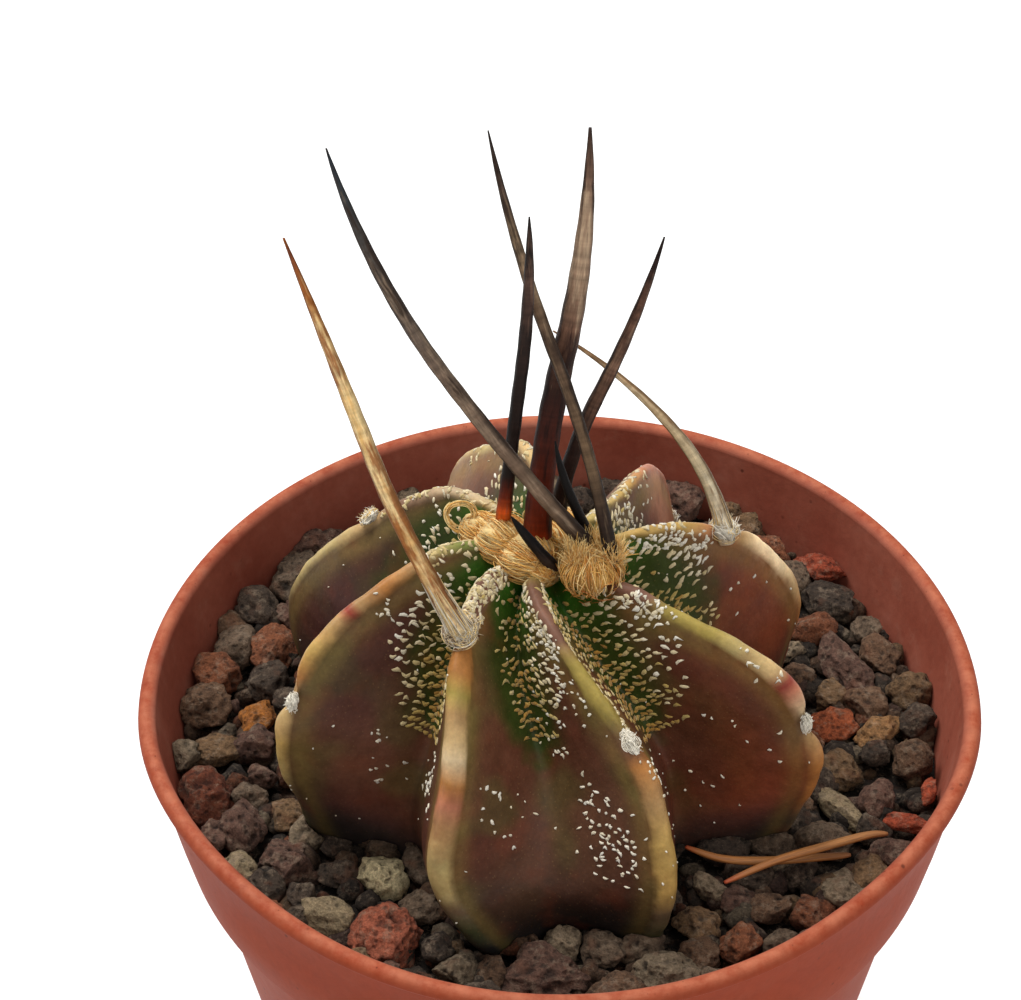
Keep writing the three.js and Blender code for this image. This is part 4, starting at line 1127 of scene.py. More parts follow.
def areole_wool():
    material = wool_material("areole_wool")
    for index, (name, facts) in enumerate(AREOLE_WOOL.items()):
        rib, at, radii, height, core, colors, standing, lying, length = facts
        random = np.random.default_rng(40 + index)
        radii = np.array(radii)
        centre, axes = wool_frame(rib, at, height)
        shag = WHITE_SHAG if core == WHITE_WOOL else FELT_SHAG
        parts = [
            wool_core(centre, axes, radii * CORE_SHARE, core, 60 + index, shag),
            combed_fibres(centre, axes, radii, random, lying, 1.3 * length, colors, *AREOLE_LYING),
            tufted_fibres(centre, axes, radii, random, standing, length, colors, *AREOLE_STANDING),
        ]
        if name in TORN_RINGS:
            radius, count, ring_colors = TORN_RINGS[name]
            parts.append(ring_fibres(centre, axes, radius, random, count, ring_colors, TORN_RISE))
        if name in FOOT_STRANDS:
            parts.append(foot_strands(*FOOT_STRANDS[name], (GREY_WOOL, PALE_WOOL, WHITE_WOOL), random))
        if name in FOOT_COLLARS:
            spine_name, collar = FOOT_COLLARS[name]
            foot, collar = spine_form(spine_name)[0][1], np.array(collar)
            parts.append(wool_core(foot, axes, collar * COLLAR_CORE_SHARE, WHITE_WOOL, 75 + index))
            parts.append(combed_fibres(foot, axes, collar, random, *COLLAR_LYING))
        if name == "wool_c_young":
            upright = np.eye(3)
            parts.append(combed_fibres(centre - axes[2] * 0.5, axes, radii * 1.04, random, *YOUNG_SKIRT))
            parts.append(combed_fibres(centre, upright, radii * 1.03, random, *YOUNG_SHEAF))
            for offset, lean, count in TUFT_SIDES:
                parts.append(tufted_fibres(centre + offset, upright, TUFT_SIDE_RADII, random, count, 1.6,
                                           (PALE_WOOL, STRAW, PALE_WOOL), lean, 0.35, 0.026))
        wool_piece(name + "_fibres", parts, material, name)


def crown_wool():
    random = np.random.default_rng(80)
    upright = np.eye(3)
    parts = []
    for index, (place, radius) in enumerate(CROWN_MOUNDS):
        radii = np.array([radius, radius, radius * CROWN_FLATNESS])
        centre = np.array(place)
        parts.append(wool_core(centre, upright, radii * CROWN_CORE_SHARE, PALE_WOOL, 90 + index))
        parts.append(combed_fibres(centre, upright, radii, random, *CROWN_LYING))
        parts.append(tufted_fibres(centre, upright, radii, random, *CROWN_STANDING))
    place, radius = CROWN_LOOP
    parts.append(ring_fibres(np.array(place), CROWN_LOOP_AXES, radius, random, CROWN_LOOP_FIBRES,
                             (PALE_WOOL, STRAW, PALE_WOOL), CROWN_LOOP_RISE))
    wool_piece("wool_crown_fibres", parts, wool_material("crown_wool"), "wool_crown")


# Spines: base, headings (azimuth and rise) at the base, half way and at the tip, length and width
SPINES = {
    "spine_a": ((-6.4, -8.4, 13.4), ((179, 66), (163, 74), (164, 73)), 31.7, 1.15),
    "spine_c_long": ((2.4, -2.4, 14.8), ((168, 50), (165, 56), (134, 67)), 33.6, 1.05),
    "spine_c_thin": ((3.5, -3.3, 15.2), ((125, 74), (133, 59), (111, 54)), 29.8, 0.85),
    "spine_c_short": ((2.8, -1.3, 13.7), ((173, 63), (170, 71), (154, 82)), 10, 0.75),
    "spine_crown_black": ((-3.8, 0.8, 14.6), ((22, 84), (20, 83), (113, 88)), 24.7, 0.9),
    "spine_crown_thick": ((-1.5, -0.2, 13.4), ((73, 84), (47, 72), (91, 69)), 30.2, 1.7),
    "spine_crown_banded": ((-0.2, 1.8, 13), ((38, 84), (21, 64), (49, 65)), 23.3, 1.05),
    "spine_crown_young": ((-0.8, -2.5, 14.2), ((174, 55), (171, 56), (167, 58)), 4.3, 0.8),
    "spine_d": ((11.4, 2.9, 12), ((153, 78), (161, 46), (158, 21)), 19.6, 1.1),
}
# Each spine's colours along its way; the colour of its pale streaks and of its stains, with the share
# that they take along the way; how strongly it is banded, how much its foot widens, and its slot
SPINE_LOOKS = {
    "spine_a": {
        "horn": [(0, (190, 172, 140)), (0.07, (186, 162, 124)), (0.18, (204, 162, 104)),
            (0.5, (220, 176, 108)), (0.78, (222, 180, 116)), (0.86, (194, 134, 72)),
            (0.93, (146, 82, 40)), (0.97, (108, 52, 30)), (1, (66, 32, 24))],
        "pale": ((244, 216, 160), [(0, 0.4), (0.2, 0.55), (0.5, 0.7), (0.75, 0.65), (0.88, 0.4), (1, 0)]),
        "stain": ((140, 74, 22), [(0, 0.25), (0.1, 0.4), (0.2, 0.66), (0.38, 0.66), (0.48, 0.42),
            (0.7, 0.42), (0.85, 0.5), (0.93, 0.7), (1, 0.9)]),
        "banding": 0.4, "foot": 0.3, "slot": "spine_straw",
    },
    "spine_c_long": {
        "horn": [(0, (26, 18, 14)), (0.06, (56, 41, 32)), (0.15, (108, 86, 68)), (0.5, (106, 88, 74)),
            (0.75, (80, 72, 66)), (0.88, (58, 59, 59)), (0.96, (42, 48, 54)), (1, (32, 36, 42))],
        "pale": ((150, 128, 106), [(0, 0), (0.15, 0.5), (0.6, 0.55), (0.85, 0.3), (1, 0)]),
        "stain": ((50, 36, 28), [(0, 0.7), (0.1, 0.3), (0.5, 0.35), (1, 0.6)]),
        "banding": 0.5, "foot": 0, "slot": "spine_dark",
    },
    "spine_c_thin": {
        "horn": [(0, (24, 16, 13)), (0.1, (48, 34, 26)), (0.25, (104, 82, 60)), (0.5, (80, 61, 47)),
            (0.7, (118, 94, 72)), (0.88, (74, 58, 48)), (1, (24, 20, 20))],
        "pale": ((150, 126, 98), [(0, 0), (0.25, 0.45), (0.45, 0.25), (0.72, 0.6), (0.9, 0.2), (1, 0)]),
        "stain": ((42, 29, 22), [(0, 0.7), (0.2, 0.4), (0.5, 0.5), (0.7, 0.3), (1, 0.7)]),
        "banding": 0.7, "foot": 0, "slot": "spine_dark",
    },
    "spine_c_short": {
        "horn": [(0, (24, 17, 15)), (0.5, (16, 12, 11)), (1, (10, 9, 9))],
        "pale": ((60, 48, 42), [(0, 0.2), (1, 0.2)]),
        "stain": ((10, 8, 8), [(0, 0.4), (1, 0.4)]),
        "banding": 0.3, "foot": 0, "slot": "spine_dark",
    },
    "spine_crown_black": {
        "horn": [(0, (214, 104, 32)), (0.05, (196, 76, 22)), (0.1, (104, 34, 14)), (0.17, (26, 15, 12)),
            (0.6, (38, 25, 20)), (0.82, (76, 54, 45)), (1, (20, 15, 14))],
        "pale": ((112, 84, 68), [(0, 0), (0.5, 0.1), (0.8, 0.5), (1, 0)]),
        "stain": ((14, 9, 8), [(0, 0), (0.15, 0.4), (0.6, 0.4), (1, 0.4)]),
        "banding": 0.6, "foot": 0, "slot": "spine_dark",
    },
    "spine_crown_thick": {
        "horn": [(0, (150, 52, 14)), (0.08, (104, 34, 12)), (0.24, (76, 26, 13)), (0.4, (50, 25, 18)),
            (0.56, (100, 71, 55)), (0.76, (152, 124, 100)), (0.9, (112, 85, 69)), (1, (40, 27, 24))],
        "pale": ((180, 154, 126), [(0, 0), (0.48, 0), (0.6, 0.5), (0.85, 0.5), (1, 0)]),
        "stain": ((30, 10, 6), [(0, 0.1), (0.2, 0.3), (0.45, 0.55), (0.58, 0.35), (0.8, 0.15), (1, 0.5)]),
        "banding": 0.5, "foot": 0, "slot": "spine_dark",
    },
    "spine_crown_banded": {
        "horn": [(0, (30, 15, 12)), (0.3, (38, 22, 17)), (0.5, (96, 68, 53)), (0.8, (88, 60, 47)),
            (0.92, (54, 36, 30)), (1, (24, 17, 16))],
        "pale": ((136, 108, 86), [(0, 0), (0.4, 0.1), (0.6, 0.45), (0.85, 0.3), (1, 0)]),
        "stain": ((28, 17, 13), [(0, 0.4), (0.4, 0.5), (0.7, 0.4), (1, 0.6)]),
        "banding": 0.8, "foot": 0, "slot": "spine_dark",
    },
    "spine_crown_young": {
        "horn": [(0, (56, 43, 37)), (0.3, (20, 16, 15)), (1, (10, 9, 9))],
        "pale": ((60, 48, 42), [(0, 0.3), (1, 0.1)]),
        "stain": ((10, 8, 8), [(0, 0.3), (1, 0.4)]),
        "banding": 0.3, "foot": 0, "slot": "spine_dark",
    },
    "spine_d": {
        "horn": [(0, (214, 200, 170)), (0.3, (204, 184, 148)), (0.6, (192, 164, 124)),
            (0.85, (164, 130, 94)), (1, (110, 82, 62))],
        "pale": ((232, 216, 184), [(0, 0.6), (0.3, 0.5), (0.6, 0.4), (1, 0.2)]),
        "stain": ((128, 94, 62), [(0, 0.15), (0.15, 0.4), (0.6, 0.45), (1, 0.5)]),
        "banding": 0.5, "foot": 0, "slot": "spine_straw",
    },
}
# How strongly streaks and stains cover the horn, and how far their share along the way raises them
STREAK_STRENGTH = 0.85
STREAK_CONTRAST = 0.36
# How little the horn's grain changes along a spine, as a share of how it changes across
GRAIN_DRAWN_OUT = 0.12
FOOT_LENGTH = 1.4
SPINE_SIDES = 18
SPINE_ROWS = 64
SPINE_FLATNESS = 0.72
SPINE_ROOT_DEPTH = 1
SPINE_ROOT_FLARE = 1.2
SPINE_FLARE_SHARPNESS = 5
SPINE_TAPER_POWER = 3.5
SPINE_TIP_SHARE = 0.12
# Spines that taper earlier or later than the rest
SPINE_TAPERS = {
    "spine_a": 3.2, "spine_c_long": 5, "spine_c_thin": 5, "spine_crown_black": 6, "spine_d": 1.4,
}


def heading_vector(azimuth, rise):
    turn, tilt = math.radians(azimuth), math.radians(rise)
    return np.array([math.cos(turn) * math.cos(tilt), math.sin(turn) * math.cos(tilt), math.sin(tilt)])


def spine_route(base, headings, length):
    """A spine's centre line from its root below the wool to its tip, in even steps of its way."""
    first, middle, last = (heading_vector(*heading) for heading in headings)
    route = [np.array(base, float)]
    for i in range(SPINE_ROWS):
        way = 2 * (i + 0.5) / SPINE_ROWS
        heading = lerp(first, middle, way) if way < 1 else lerp(middle, last, way - 1)
        route.append(route[-1] + unit(heading) * length / SPINE_ROWS)
    root = route[0] - first * SPINE_ROOT_DEPTH
    return np.array([root, *route])


def spine_form(name):
    """A spine's centre line, the way along it, its half width there and its two cross directions."""
    base, headings, length, width = SPINES[name]
    foot = SPINE_LOOKS[name]["foot"]
    route = spine_route(base, headings, length)
    way = np.concatenate([[0], np.linspace(0, 1, SPINE_ROWS + 1)])
    flare = lerp(SPINE_ROOT_FLARE, 1, np.minimum(way * SPINE_FLARE_SHARPNESS, 1))
    taper = way ** SPINE_TAPERS.get(name, SPINE_TAPER_POWER)
    half = width / 2 * lerp(1, SPINE_TIP_SHARE, taper) * flare
    half = half * (1 + 0.025 * np.sin(way * length * 2.6 + len(name)))
    half = half * (1 + foot * np.exp(-way * length / FOOT_LENGTH))
    chord = unit(route[-1] - route[0])
    side = unit(np.cross((0, -1, 0), chord))
    return route, way, half, side, np.cross(side, chord)


def spine(name):
    look = SPINE_LOOKS[name]
    (pale, pale_shares), (stain, stain_shares) = look["pale"], look["stain"]
    length = SPINES[name][2]
    route, way, half, side, facing = spine_form(name)
    points, triangles = tubes(route[None], half[None], half[None] * SPINE_FLATNESS, SPINE_SIDES, -facing)
    rows = len(route)
    turn = np.tile(2 * math.pi * np.arange(SPINE_SIDES) / SPINE_SIDES, rows)
    row_way = np.repeat(way, SPINE_SIDES)
    row_half = np.repeat(half, SPINE_SIDES)
    fluting = 1 + 0.03 * np.sin(5 * turn) * (1 - row_way)
    centres = np.repeat(route, SPINE_SIDES, 0)
    points[:-2] = centres + (points[:-2] - centres) * fluting[:, None]
    grain_way = row_way * length * GRAIN_DRAWN_OUT
    grain = np.stack([row_half * np.cos(turn), row_half * np.sin(turn), grain_way], -1)
    rings = np.stack([row_way * length, 0 * row_way, 0 * row_way], -1)
    ends = np.array([[0, 0, 0], [0, 0, length * GRAIN_DRAWN_OUT]])
    ways = np.concatenate([row_way, [0, 1]])
    values = {
        "way": ways,
        "paled": STREAK_CONTRAST * (np.interp(ways, *zip(*pale_shares)) - 0.5),
        "stained": STREAK_CONTRAST * (np.interp(ways, *zip(*stain_shares)) - 0.5),
        # How far round to the sides that the camera sees, where the horn gets painted shade
        "edge": np.concatenate([np.tile(np.abs(np.cos(turn[:SPINE_SIDES])), rows), [0, 0]]),
        "grain": np.concatenate([grain, ends]) * MM,
        "rings": np.concatenate([rings, [[0, 0, 0], [length, 0, 0]]]) * MM,
    }
    material = spine_material(name + "_horn", look["horn"], pale, stain, look["banding"])
    made = piece(name + "_fine", points, triangles, material, values)
    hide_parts(name)


# Pot

LIP_ROUNDING = 0.65
LIP_HEIGHT = 0.9
LIP_UNDERCUT = 0.15
COLLAR_TOP_RADIUS = 29.55
COLLAR_FLARE_RADIUS = 28.7
COLLAR_FLARE_DEPTH = 5
COLLAR_FOOT_RADIUS = 27.8
COLLAR_DEPTH = 9.2
COLLAR_STEP = 1.3
BASE_RADIUS = 20
BASE_CHAMFER = 0.7
WALL = 0.8
FLOOR = 1
DRAIN_HOLES = 4
DRAIN_RADIUS = 1.9
DRAIN_CIRCLE_RADIUS = 12.5
POT_SEGMENTS = 224


def softened(profile, lengths):
    """The profile with its corners cut by short curves, each a length long on both sides."""
    out = [profile[0]]
    for before, corner, after, length in zip(profile, profile[1:], profile[2:], lengths):
        before, corner, after = (np.array(p, float) for p in (before, corner, after))
        start = corner + unit(before - corner) * min(length, np.linalg.norm(before - corner) * 0.45)
        end = corner + unit(after - corner) * min(length, np.linalg.norm(after - corner) * 0.45)
        for t in np.linspace(0, 1, 4):
            out.append(tuple(lerp(lerp(start, corner, t), lerp(corner, end, t), t)))
    return out + [profile[-1]]


def pot_profile():
    """The wall's section from the middle of the underside, over the lip, to the middle of the floor."""
    lip = []
    for degrees in range(0, 181, 15):
        turn = math.radians(degrees)
        lip.append((RIM_RADIUS - LIP_ROUNDING * (1 - math.cos(turn)), LIP_ROUNDING * (math.sin(turn) - 1)))
    foot = -RIM_HEIGHT
    body_top = (COLLAR_FOOT_RADIUS - COLLAR_STEP, -COLLAR_DEPTH - COLLAR_STEP)
    outside = [
        (BASE_RADIUS - BASE_CHAMFER, foot), (BASE_RADIUS, foot + BASE_CHAMFER), body_top,
        (COLLAR_FOOT_RADIUS, -COLLAR_DEPTH), (COLLAR_FLARE_RADIUS, -COLLAR_FLARE_DEPTH),
        (COLLAR_TOP_RADIUS, -LIP_HEIGHT - LIP_UNDERCUT), (RIM_RADIUS - LIP_UNDERCUT, -LIP_HEIGHT),
    ]
    floor = foot + FLOOR
    inside = [
        (COLLAR_FLARE_RADIUS - WALL, -COLLAR_FLARE_DEPTH), (COLLAR_FOOT_RADIUS - WALL, -COLLAR_DEPTH),
        (body_top[0] - WALL, body_top[1]), (BASE_RADIUS - WALL, floor + BASE_CHAMFER),
        (BASE_RADIUS - WALL - BASE_CHAMFER, floor),
    ]
    start, end = (BASE_RADIUS / 2, foot), (BASE_RADIUS / 2, floor)
    lengths = [0.3, 0.3, 0.35, 0.35, 1.5, 0.15, 0.2] + [0.05] * len(lip) + [1.5, 0.35, 0.35, 0.3, 0.3]
    return softened([start, *outside, *lip, *inside, end], lengths)


# The thin rim is pressed in a little at the front: how far, how deep down, and between which shares
# of the way round to the front
RIM_PRESS = 1.5
RIM_PRESS_DEPTH = 9
RIM_PRESS_FRONT = (0.1, 0.8)


def rim_press(points):
    """How far the wall stands in beside each point."""
    radius = np.maximum(np.hypot(points[:, 0], points[:, 1]), 1)
    front = smoothstep(-points[:, 1] / radius, *RIM_PRESS_FRONT)
    return RIM_PRESS * front * smoothstep(points[:, 2], -RIM_PRESS_DEPTH, 0)


def pressed_in(points):
    radius = np.maximum(np.hypot(points[:, 0], points[:, 1]), 1)
    scale = 1 - rim_press(points) / radius
    return points * np.stack([scale, scale, np.ones(len(points))], 1)


def pot():
    profile = np.array(pot_profile())
    rows = len(profile)
    turn = 2 * math.pi * np.arange(POT_SEGMENTS) / POT_SEGMENTS
    radius, height = profile[:, :1], np.repeat(profile[:, 1:], POT_SEGMENTS, 1)
    rings = np.stack([radius * np.cos(turn), radius * np.sin(turn), height], -1)
    points = pressed_in(rings.reshape(-1, 3))
    poles = np.array([[0, 0, profile[0, 1]], [0, 0, profile[-1, 1]]])
    triangles = np.concatenate([grid_triangles(rows, POT_SEGMENTS), end_fans(rows, POT_SEGMENTS)])[:, ::-1]
    row, top_row = np.arange(rows), np.argmax(profile[:, 1])
    row_lip = bell(np.abs(row - top_row), 14) * (profile[:, 1] > -LIP_HEIGHT - 0.6)
    row_inner = smoothstep(row, top_row, top_row + 16)
    values = {
        "lip": np.concatenate([np.repeat(row_lip, POT_SEGMENTS), [0, 0]]),
        "inner": np.concatenate([np.repeat(row_inner, POT_SEGMENTS), [0, 1]]),
    }
    made = piece("pot_shell", np.concatenate([points, poles]), triangles, pot_material(), values)
    drill_drain_holes(made)
    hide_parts("pot")


def drill_drain_holes(shell):
    """Round holes through the pot's floor."""
    drills = bmesh.new()
    for hole in range(DRAIN_HOLES):
        turn = 2 * math.pi * (hole + 0.5) / DRAIN_HOLES
        x, y = DRAIN_CIRCLE_RADIUS * math.cos(turn), DRAIN_CIRCLE_RADIUS * math.sin(turn)
        place = Vector((x, y, 0)) * MM
        radius = DRAIN_RADIUS * MM
        bmesh.ops.create_cone(drills, cap_ends=True, segments=40, radius1=radius, radius2=radius,
                              depth=4 * FLOOR * MM, matrix=Matrix.Translation(place))
    mesh = bpy.data.meshes.new("drills")
    drills.to_mesh(mesh)
    drills.free()
    cutter = bpy.data.objects.new("drills", mesh)
    bpy.context.scene.collection.objects.link(cutter)
    cut = shell.modifiers.new("drain_holes", "BOOLEAN")
    cut.operation = "DIFFERENCE"
    cut.solver = "EXACT"
    cut.object = cutter
    bpy.context.view_layer.update()
    evaluated = shell.evaluated_get(bpy.context.evaluated_depsgraph_get())
    done = bpy.data.meshes.new_from_object(evaluated)
    shell.modifiers.clear()
    shell.data = done
    bpy.data.objects.remove(cutter)


# Gravel

GRAVEL_FOOT = -12
GRAVEL_BED_TOP = -6.8
GRAVEL_LEVEL = -5.5
GRAVEL_WALL_RISE = 0.5
GRAVEL_WALL_SLOPE = (18, 27)
GRAIN_MIN = 1.3
GRAIN_MAX = 2.5
GRAIN_TRIES = 2500
GRAIN_SPACING = 0.73
GRAIN_INNERMOST = 13
GRAIN_STRETCH = ((0.9, 1.2), (0.75, 1), (0.65, 0.85))
GRAIN_SMALLNESS = 1.6
GRAIN_TILT = 30
GRAIN_SINK = 0.2
GRAIN_SEED = 48

STONE_COLORS = {
    "charcoal": (64, 52, 42), "umber": (90, 66, 48), "slate": (94, 77, 61), "russet": (112, 66, 42),
    "brick": (140, 76, 54), "garnet": (94, 48, 30), "mauve": (92, 66, 54), "ochre": (144, 88, 36),
    "clay": (110, 84, 58), "ash": (114, 98, 78), "bone": (182, 166, 128), "sand": (130, 113, 86),
    "rust": (136, 68, 38), "tan": (132, 96, 60), "shard": (142, 62, 38),
}
# The stones in sight: place, length, width, turn in degrees, colour and how full of holes they are
MARKED_STONES = [
    (-24.2, 8.1, 4.6, 3.4, 80, "slate", 0.3), (-21.4, 8.3, 5.2, 3.7, 90, "russet", 0.6),
    (-20.5, 16.3, 5.6, 4.2, 100, "slate", 0.4), (-25.9, 2.3, 4.4, 4, 10, "umber", 0.6),
    (-22.2, 1.2, 4.2, 3.2, 80, "ochre", 0.3), (-24.9, -2.1, 3.6, 2.8, 20, "clay", 0.2),
    (-21.5, -4.3, 2.6, 2.4, 0, "mauve", 0.4), (-25.1, -6.5, 4.6, 4.2, -20, "garnet", 1),
    (-22.3, -9, 4.4, 3.9, 70, "mauve", 0.7), (-19.2, -7.8, 3.4, 3, 90, "clay", 0.3),
    (-18.7, -12.4, 4.7, 4.3, 60, "mauve", 0.8), (-22.2, -13.6, 3.6, 3.3, -50, "sand", 0.2),
    (-19.6, -17.2, 3.2, 2.4, -40, "russet", 0.5), (-12.4, -13.3, 3.9, 3.7, 0, "bone", 0.1),
    (-15.6, -16.8, 4.6, 3.2, -34, "sand", 0.2), (-11.3, -18.9, 5.6, 5.3, 30, "brick", 1),
    (-15.3, -13, 2.8, 2.4, 0, "charcoal", 0.4), (-9.4, -15.8, 3.2, 2.8, 0, "slate", 0.4),
    (-6.8, -21.5, 3, 2.8, 0, "ash", 0.4), (-4.3, -21.7, 2.8, 2.4, 90, "umber", 0.4),
    (-0.6, -21.6, 6.2, 4.4, 5, "mauve", 1), (3.2, -19.6, 3.4, 2.8, -20, "slate", 0.4),
    (7.1, -22.2, 5.4, 3.8, 5, "ash", 0.5), (5.8, -19.4, 3.8, 2.8, 0, "slate", 0.3),
    (9.4, -17.4, 3.2, 3.2, 0, "clay", 0.3), (12.4, -15.5, 2.8, 2.6, 0, "mauve", 0.5),
    (10.4, -14.2, 2.8, 2.4, -30, "ash", 0.3), (12.3, -19.2, 3.6, 3.4, 0, "russet", 0.5),
    (9.5, -20.2, 3, 2.9, 0, "umber", 0.4), (15, -19.3, 3, 2.6, 20, "slate", 0.4),
    (17.2, -16.8, 3.4, 3, 15, "russet", 0.4), (19.4, -14.6, 4.1, 3.5, -20, "ash", 0.4),
    (14.6, -16, 3.4, 2.8, 10, "umber", 0.4), (11.6, -10.8, 3.6, 3, 0, "charcoal", 0.4),
    (14.9, -9.9, 4.4, 3.4, -10, "slate", 0.4), (18.6, -10.3, 4.4, 3.4, -20, "slate", 0.4),
    (23.6, -11.4, 4.3, 3.4, 15, "mauve", 0.4), (21.5, -13.3, 3, 2.8, 0, "clay", 0.3),
    (20.3, -7.6, 5.8, 1.9, -48, "sand", 0.1), (22.7, -6.5, 3.4, 3.1, 80, "mauve", 0.3),
    (20.1, -3.2, 4, 3.4, -20, "clay", 0.3), (20.2, 1.2, 3.5, 3.4, -20, "rust", 0.3),
    (23.3, 0.4, 4.8, 2.4, 45, "tan", 0.1), (21.4, 7.2, 7.8, 3.7, -70, "mauve", 0.3),
    (24.2, 8, 4.2, 3.4, 80, "umber", 0.4), (26, 4.4, 3.8, 3.4, 0, "clay", 0.4),
    (25.2, -2.6, 3.4, 3.2, 0, "umber", 0.4), (20.8, 13.8, 4.8, 3.4, -30, "charcoal", 0.4),
    (24.6, -8.6, 3.6, 1.6, -10, "shard", 0), (26.2, -5.9, 3, 1.3, 75, "shard", 0),
    (20.2, 17.3, 5.2, 2.4, -45, "shard", 0.3), (26.3, 1.1, 3, 2.9, 0, "charcoal", 0.4),
    (22.9, -2, 2.8, 2.6, 0, "charcoal", 0.4),
]
MARKED_STONE_HEIGHT = 0.8
FINE_STONE_SIZE = 8.9
COMMON_COLORS = (
    "charcoal", "umber", "charcoal", "slate", "umber", "russet", "mauve", "clay", "charcoal", "ash",
)
# A broken stone: how many breaks and how far out they lie, how many holes at most and their sizes
STONE_BREAKS = (6, 10)
BREAK_REACH = (0.55, 0.85)
STONE_HOLES = (24, 40)
HOLE_SIZES = (0.08, 0.26)
# A stone is left out where the plant takes more than this share of it
STONE_MOST_HIDDEN = 0.85
CRUMB_MOST_HIDDEN = 0.6
# Crumbs between the stones: how many, their radii, how they crowd to the small end, and their ring
CRUMB_COUNT = 900
CRUMB_RADII = (0.45, 1.25)
CRUMB_SMALLNESS = 1.5
CRUMB_RING = (12, 27.2)
# The section of the fines: the share of the way from the plant to the wall, and the height
BED_TOP_SHARES = (0, 0.12, 0.25, 0.4, 0.55, 0.7, 0.85, 1)
BED_SECTION = [
    (0, GRAVEL_FOOT), (0, -10), (0, -8.4), *((share, GRAVEL_BED_TOP) for share in BED_TOP_SHARES),
    (1, -10), (1, GRAVEL_FOOT),
]
BED_GAP = 0.15
BED_STEP_DEGREES = 1.5
# What stays free between a stone and the plant, and between a stone and the wall
PLANT_GAP = 0.12
WALL_GAP = 0.1
# Where the plant's foot is measured: lowest and highest level, how many, and from which step
FOOT_LEVELS = (-13, -1, 25)
FOOT_FIRST_STEP = 5


def seeded_random(seed):
    """The repeatable stream of numbers that also placed the stones of the plain bed."""
    state = seed

    def draw():
        nonlocal state
        state = (state + 0x6D2B79F5) & 0xFFFFFFFF
        mixed = ((state ^ state >> 15) * (1 | state)) & 0xFFFFFFFF
        stirred = ((mixed ^ mixed >> 7) * (61 | mixed)) & 0xFFFFFFFF
        mixed = ((mixed + stirred) & 0xFFFFFFFF) ^ mixed
        return (mixed ^ mixed >> 14) / 2**32

    return draw


def gravel_level(x, y):
    return GRAVEL_LEVEL + GRAVEL_WALL_RISE * float(smoothstep(math.hypot(x, y), *GRAVEL_WALL_SLOPE))


def stone_places(draw):
    """Place, length, width, height, turn and tilt of each stone: the marked ones, then a seeded draw."""
    places = [(*stone[:4], MARKED_STONE_HEIGHT * stone[3], stone[4], 0) for stone in MARKED_STONES]
    outermost = COLLAR_FLARE_RADIUS - WALL - 0.5 * GRAIN_MIN
    for _ in range(GRAIN_TRIES):
        distance = math.sqrt(lerp(GRAIN_INNERMOST**2, outermost**2, draw()))
        turn = 2 * math.pi * draw()
        size = 2 * lerp(GRAIN_MIN, GRAIN_MAX, draw() ** GRAIN_SMALLNESS)
        length, width, height = (size * lerp(least, most, draw()) for least, most in GRAIN_STRETCH)
        x, y = distance * math.cos(turn), distance * math.sin(turn)
        spin, tilt = 360 * draw(), GRAIN_TILT * draw()
        crowded = any(math.hypot(other[0] - x, other[1] - y) * 4
                      < GRAIN_SPACING * (other[2] + other[3] + length + width) for other in places)
        if not crowded:
            places.append((x, y, length, width, height, spin, tilt))
    return places


class PlantFoot:
    """How far the plant reaches from its axis, low down, by azimuth and height."""

    def __init__(self, skin):
        self.levels = np.linspace(*FOOT_LEVELS)
        self.azimuths = np.radians(np.arange(-180, 181, 1))
        low = skin.steps >= FOOT_FIRST_STEP
        offset = skin.points[low] - (PLANT_X, 0, 0)
        radius = np.hypot(offset[..., 0], offset[..., 1])
        azimuth = np.unwrap(np.arctan2(offset[..., 1], offset[..., 0]), axis=0)
        rows = []
        for level in self.levels:
            r = [np.interp(-level, -offset[:, c, 2], radius[:, c]) for c in range(skin.columns)]
            a = [np.interp(-level, -offset[:, c, 2], azimuth[:, c]) for c in range(skin.columns)]
            a = (np.array(a) + math.pi) % (2 * math.pi) - math.pi
            order = np.argsort(a)
            rows.append(np.interp(self.azimuths, a[order], np.array(r)[order], period=2 * math.pi))
        self.table = np.array(rows)

    def radius(self, azimuth, height):
        level = np.interp(height, self.levels, np.arange(len(self.levels)))
        below = np.minimum(np.floor(level).astype(int), len(self.levels) - 2)
        column = np.degrees(azimuth) + 180
        left = np.minimum(np.floor(column).astype(int), len(self.azimuths) - 2)
        up, over = level - below, column - left
        lower = lerp(self.table[below, left], self.table[below, left + 1], over)
        upper = lerp(self.table[below + 1, left], self.table[below + 1, left + 1], over)
        return lerp(lower, upper, up)

    def keep_out(self, points):
        """The points, with those inside the plant moved out to its surface."""
        offset = points - (PLANT_X, 0, 0)
        radius = np.hypot(offset[:, 0], offset[:, 1])
        needed = self.radius(np.arctan2(offset[:, 1], offset[:, 0]), points[:, 2]) + PLANT_GAP
        grow = np.where(radius < needed, needed / np.maximum(radius, 1e-6), 1)
        moved = offset.copy()
        moved[:, :2] *= grow[:, None]
        return moved + (PLANT_X, 0, 0), (radius < needed).mean()


def inner_wall_radius(height):
    return np.interp(-height, [0, COLLAR_FLARE_DEPTH, COLLAR_DEPTH, COLLAR_DEPTH + COLLAR_STEP],
                     [COLLAR_TOP_RADIUS, COLLAR_FLARE_RADIUS, COLLAR_FOOT_RADIUS,
                      COLLAR_FOOT_RADIUS - COLLAR_STEP]) - WALL


def keep_in(points):
    """The points, with those inside the pot's wall moved in to its surface."""
    radius = np.hypot(points[:, 0], points[:, 1])
    allowed = inner_wall_radius(points[:, 2]) - rim_press(points) - WALL_GAP
    shrink = np.where(radius > allowed, allowed / np.maximum(radius, 1e-6), 1)
    moved = points.copy()
    moved[:, :2] *= shrink[:, None]
    return moved


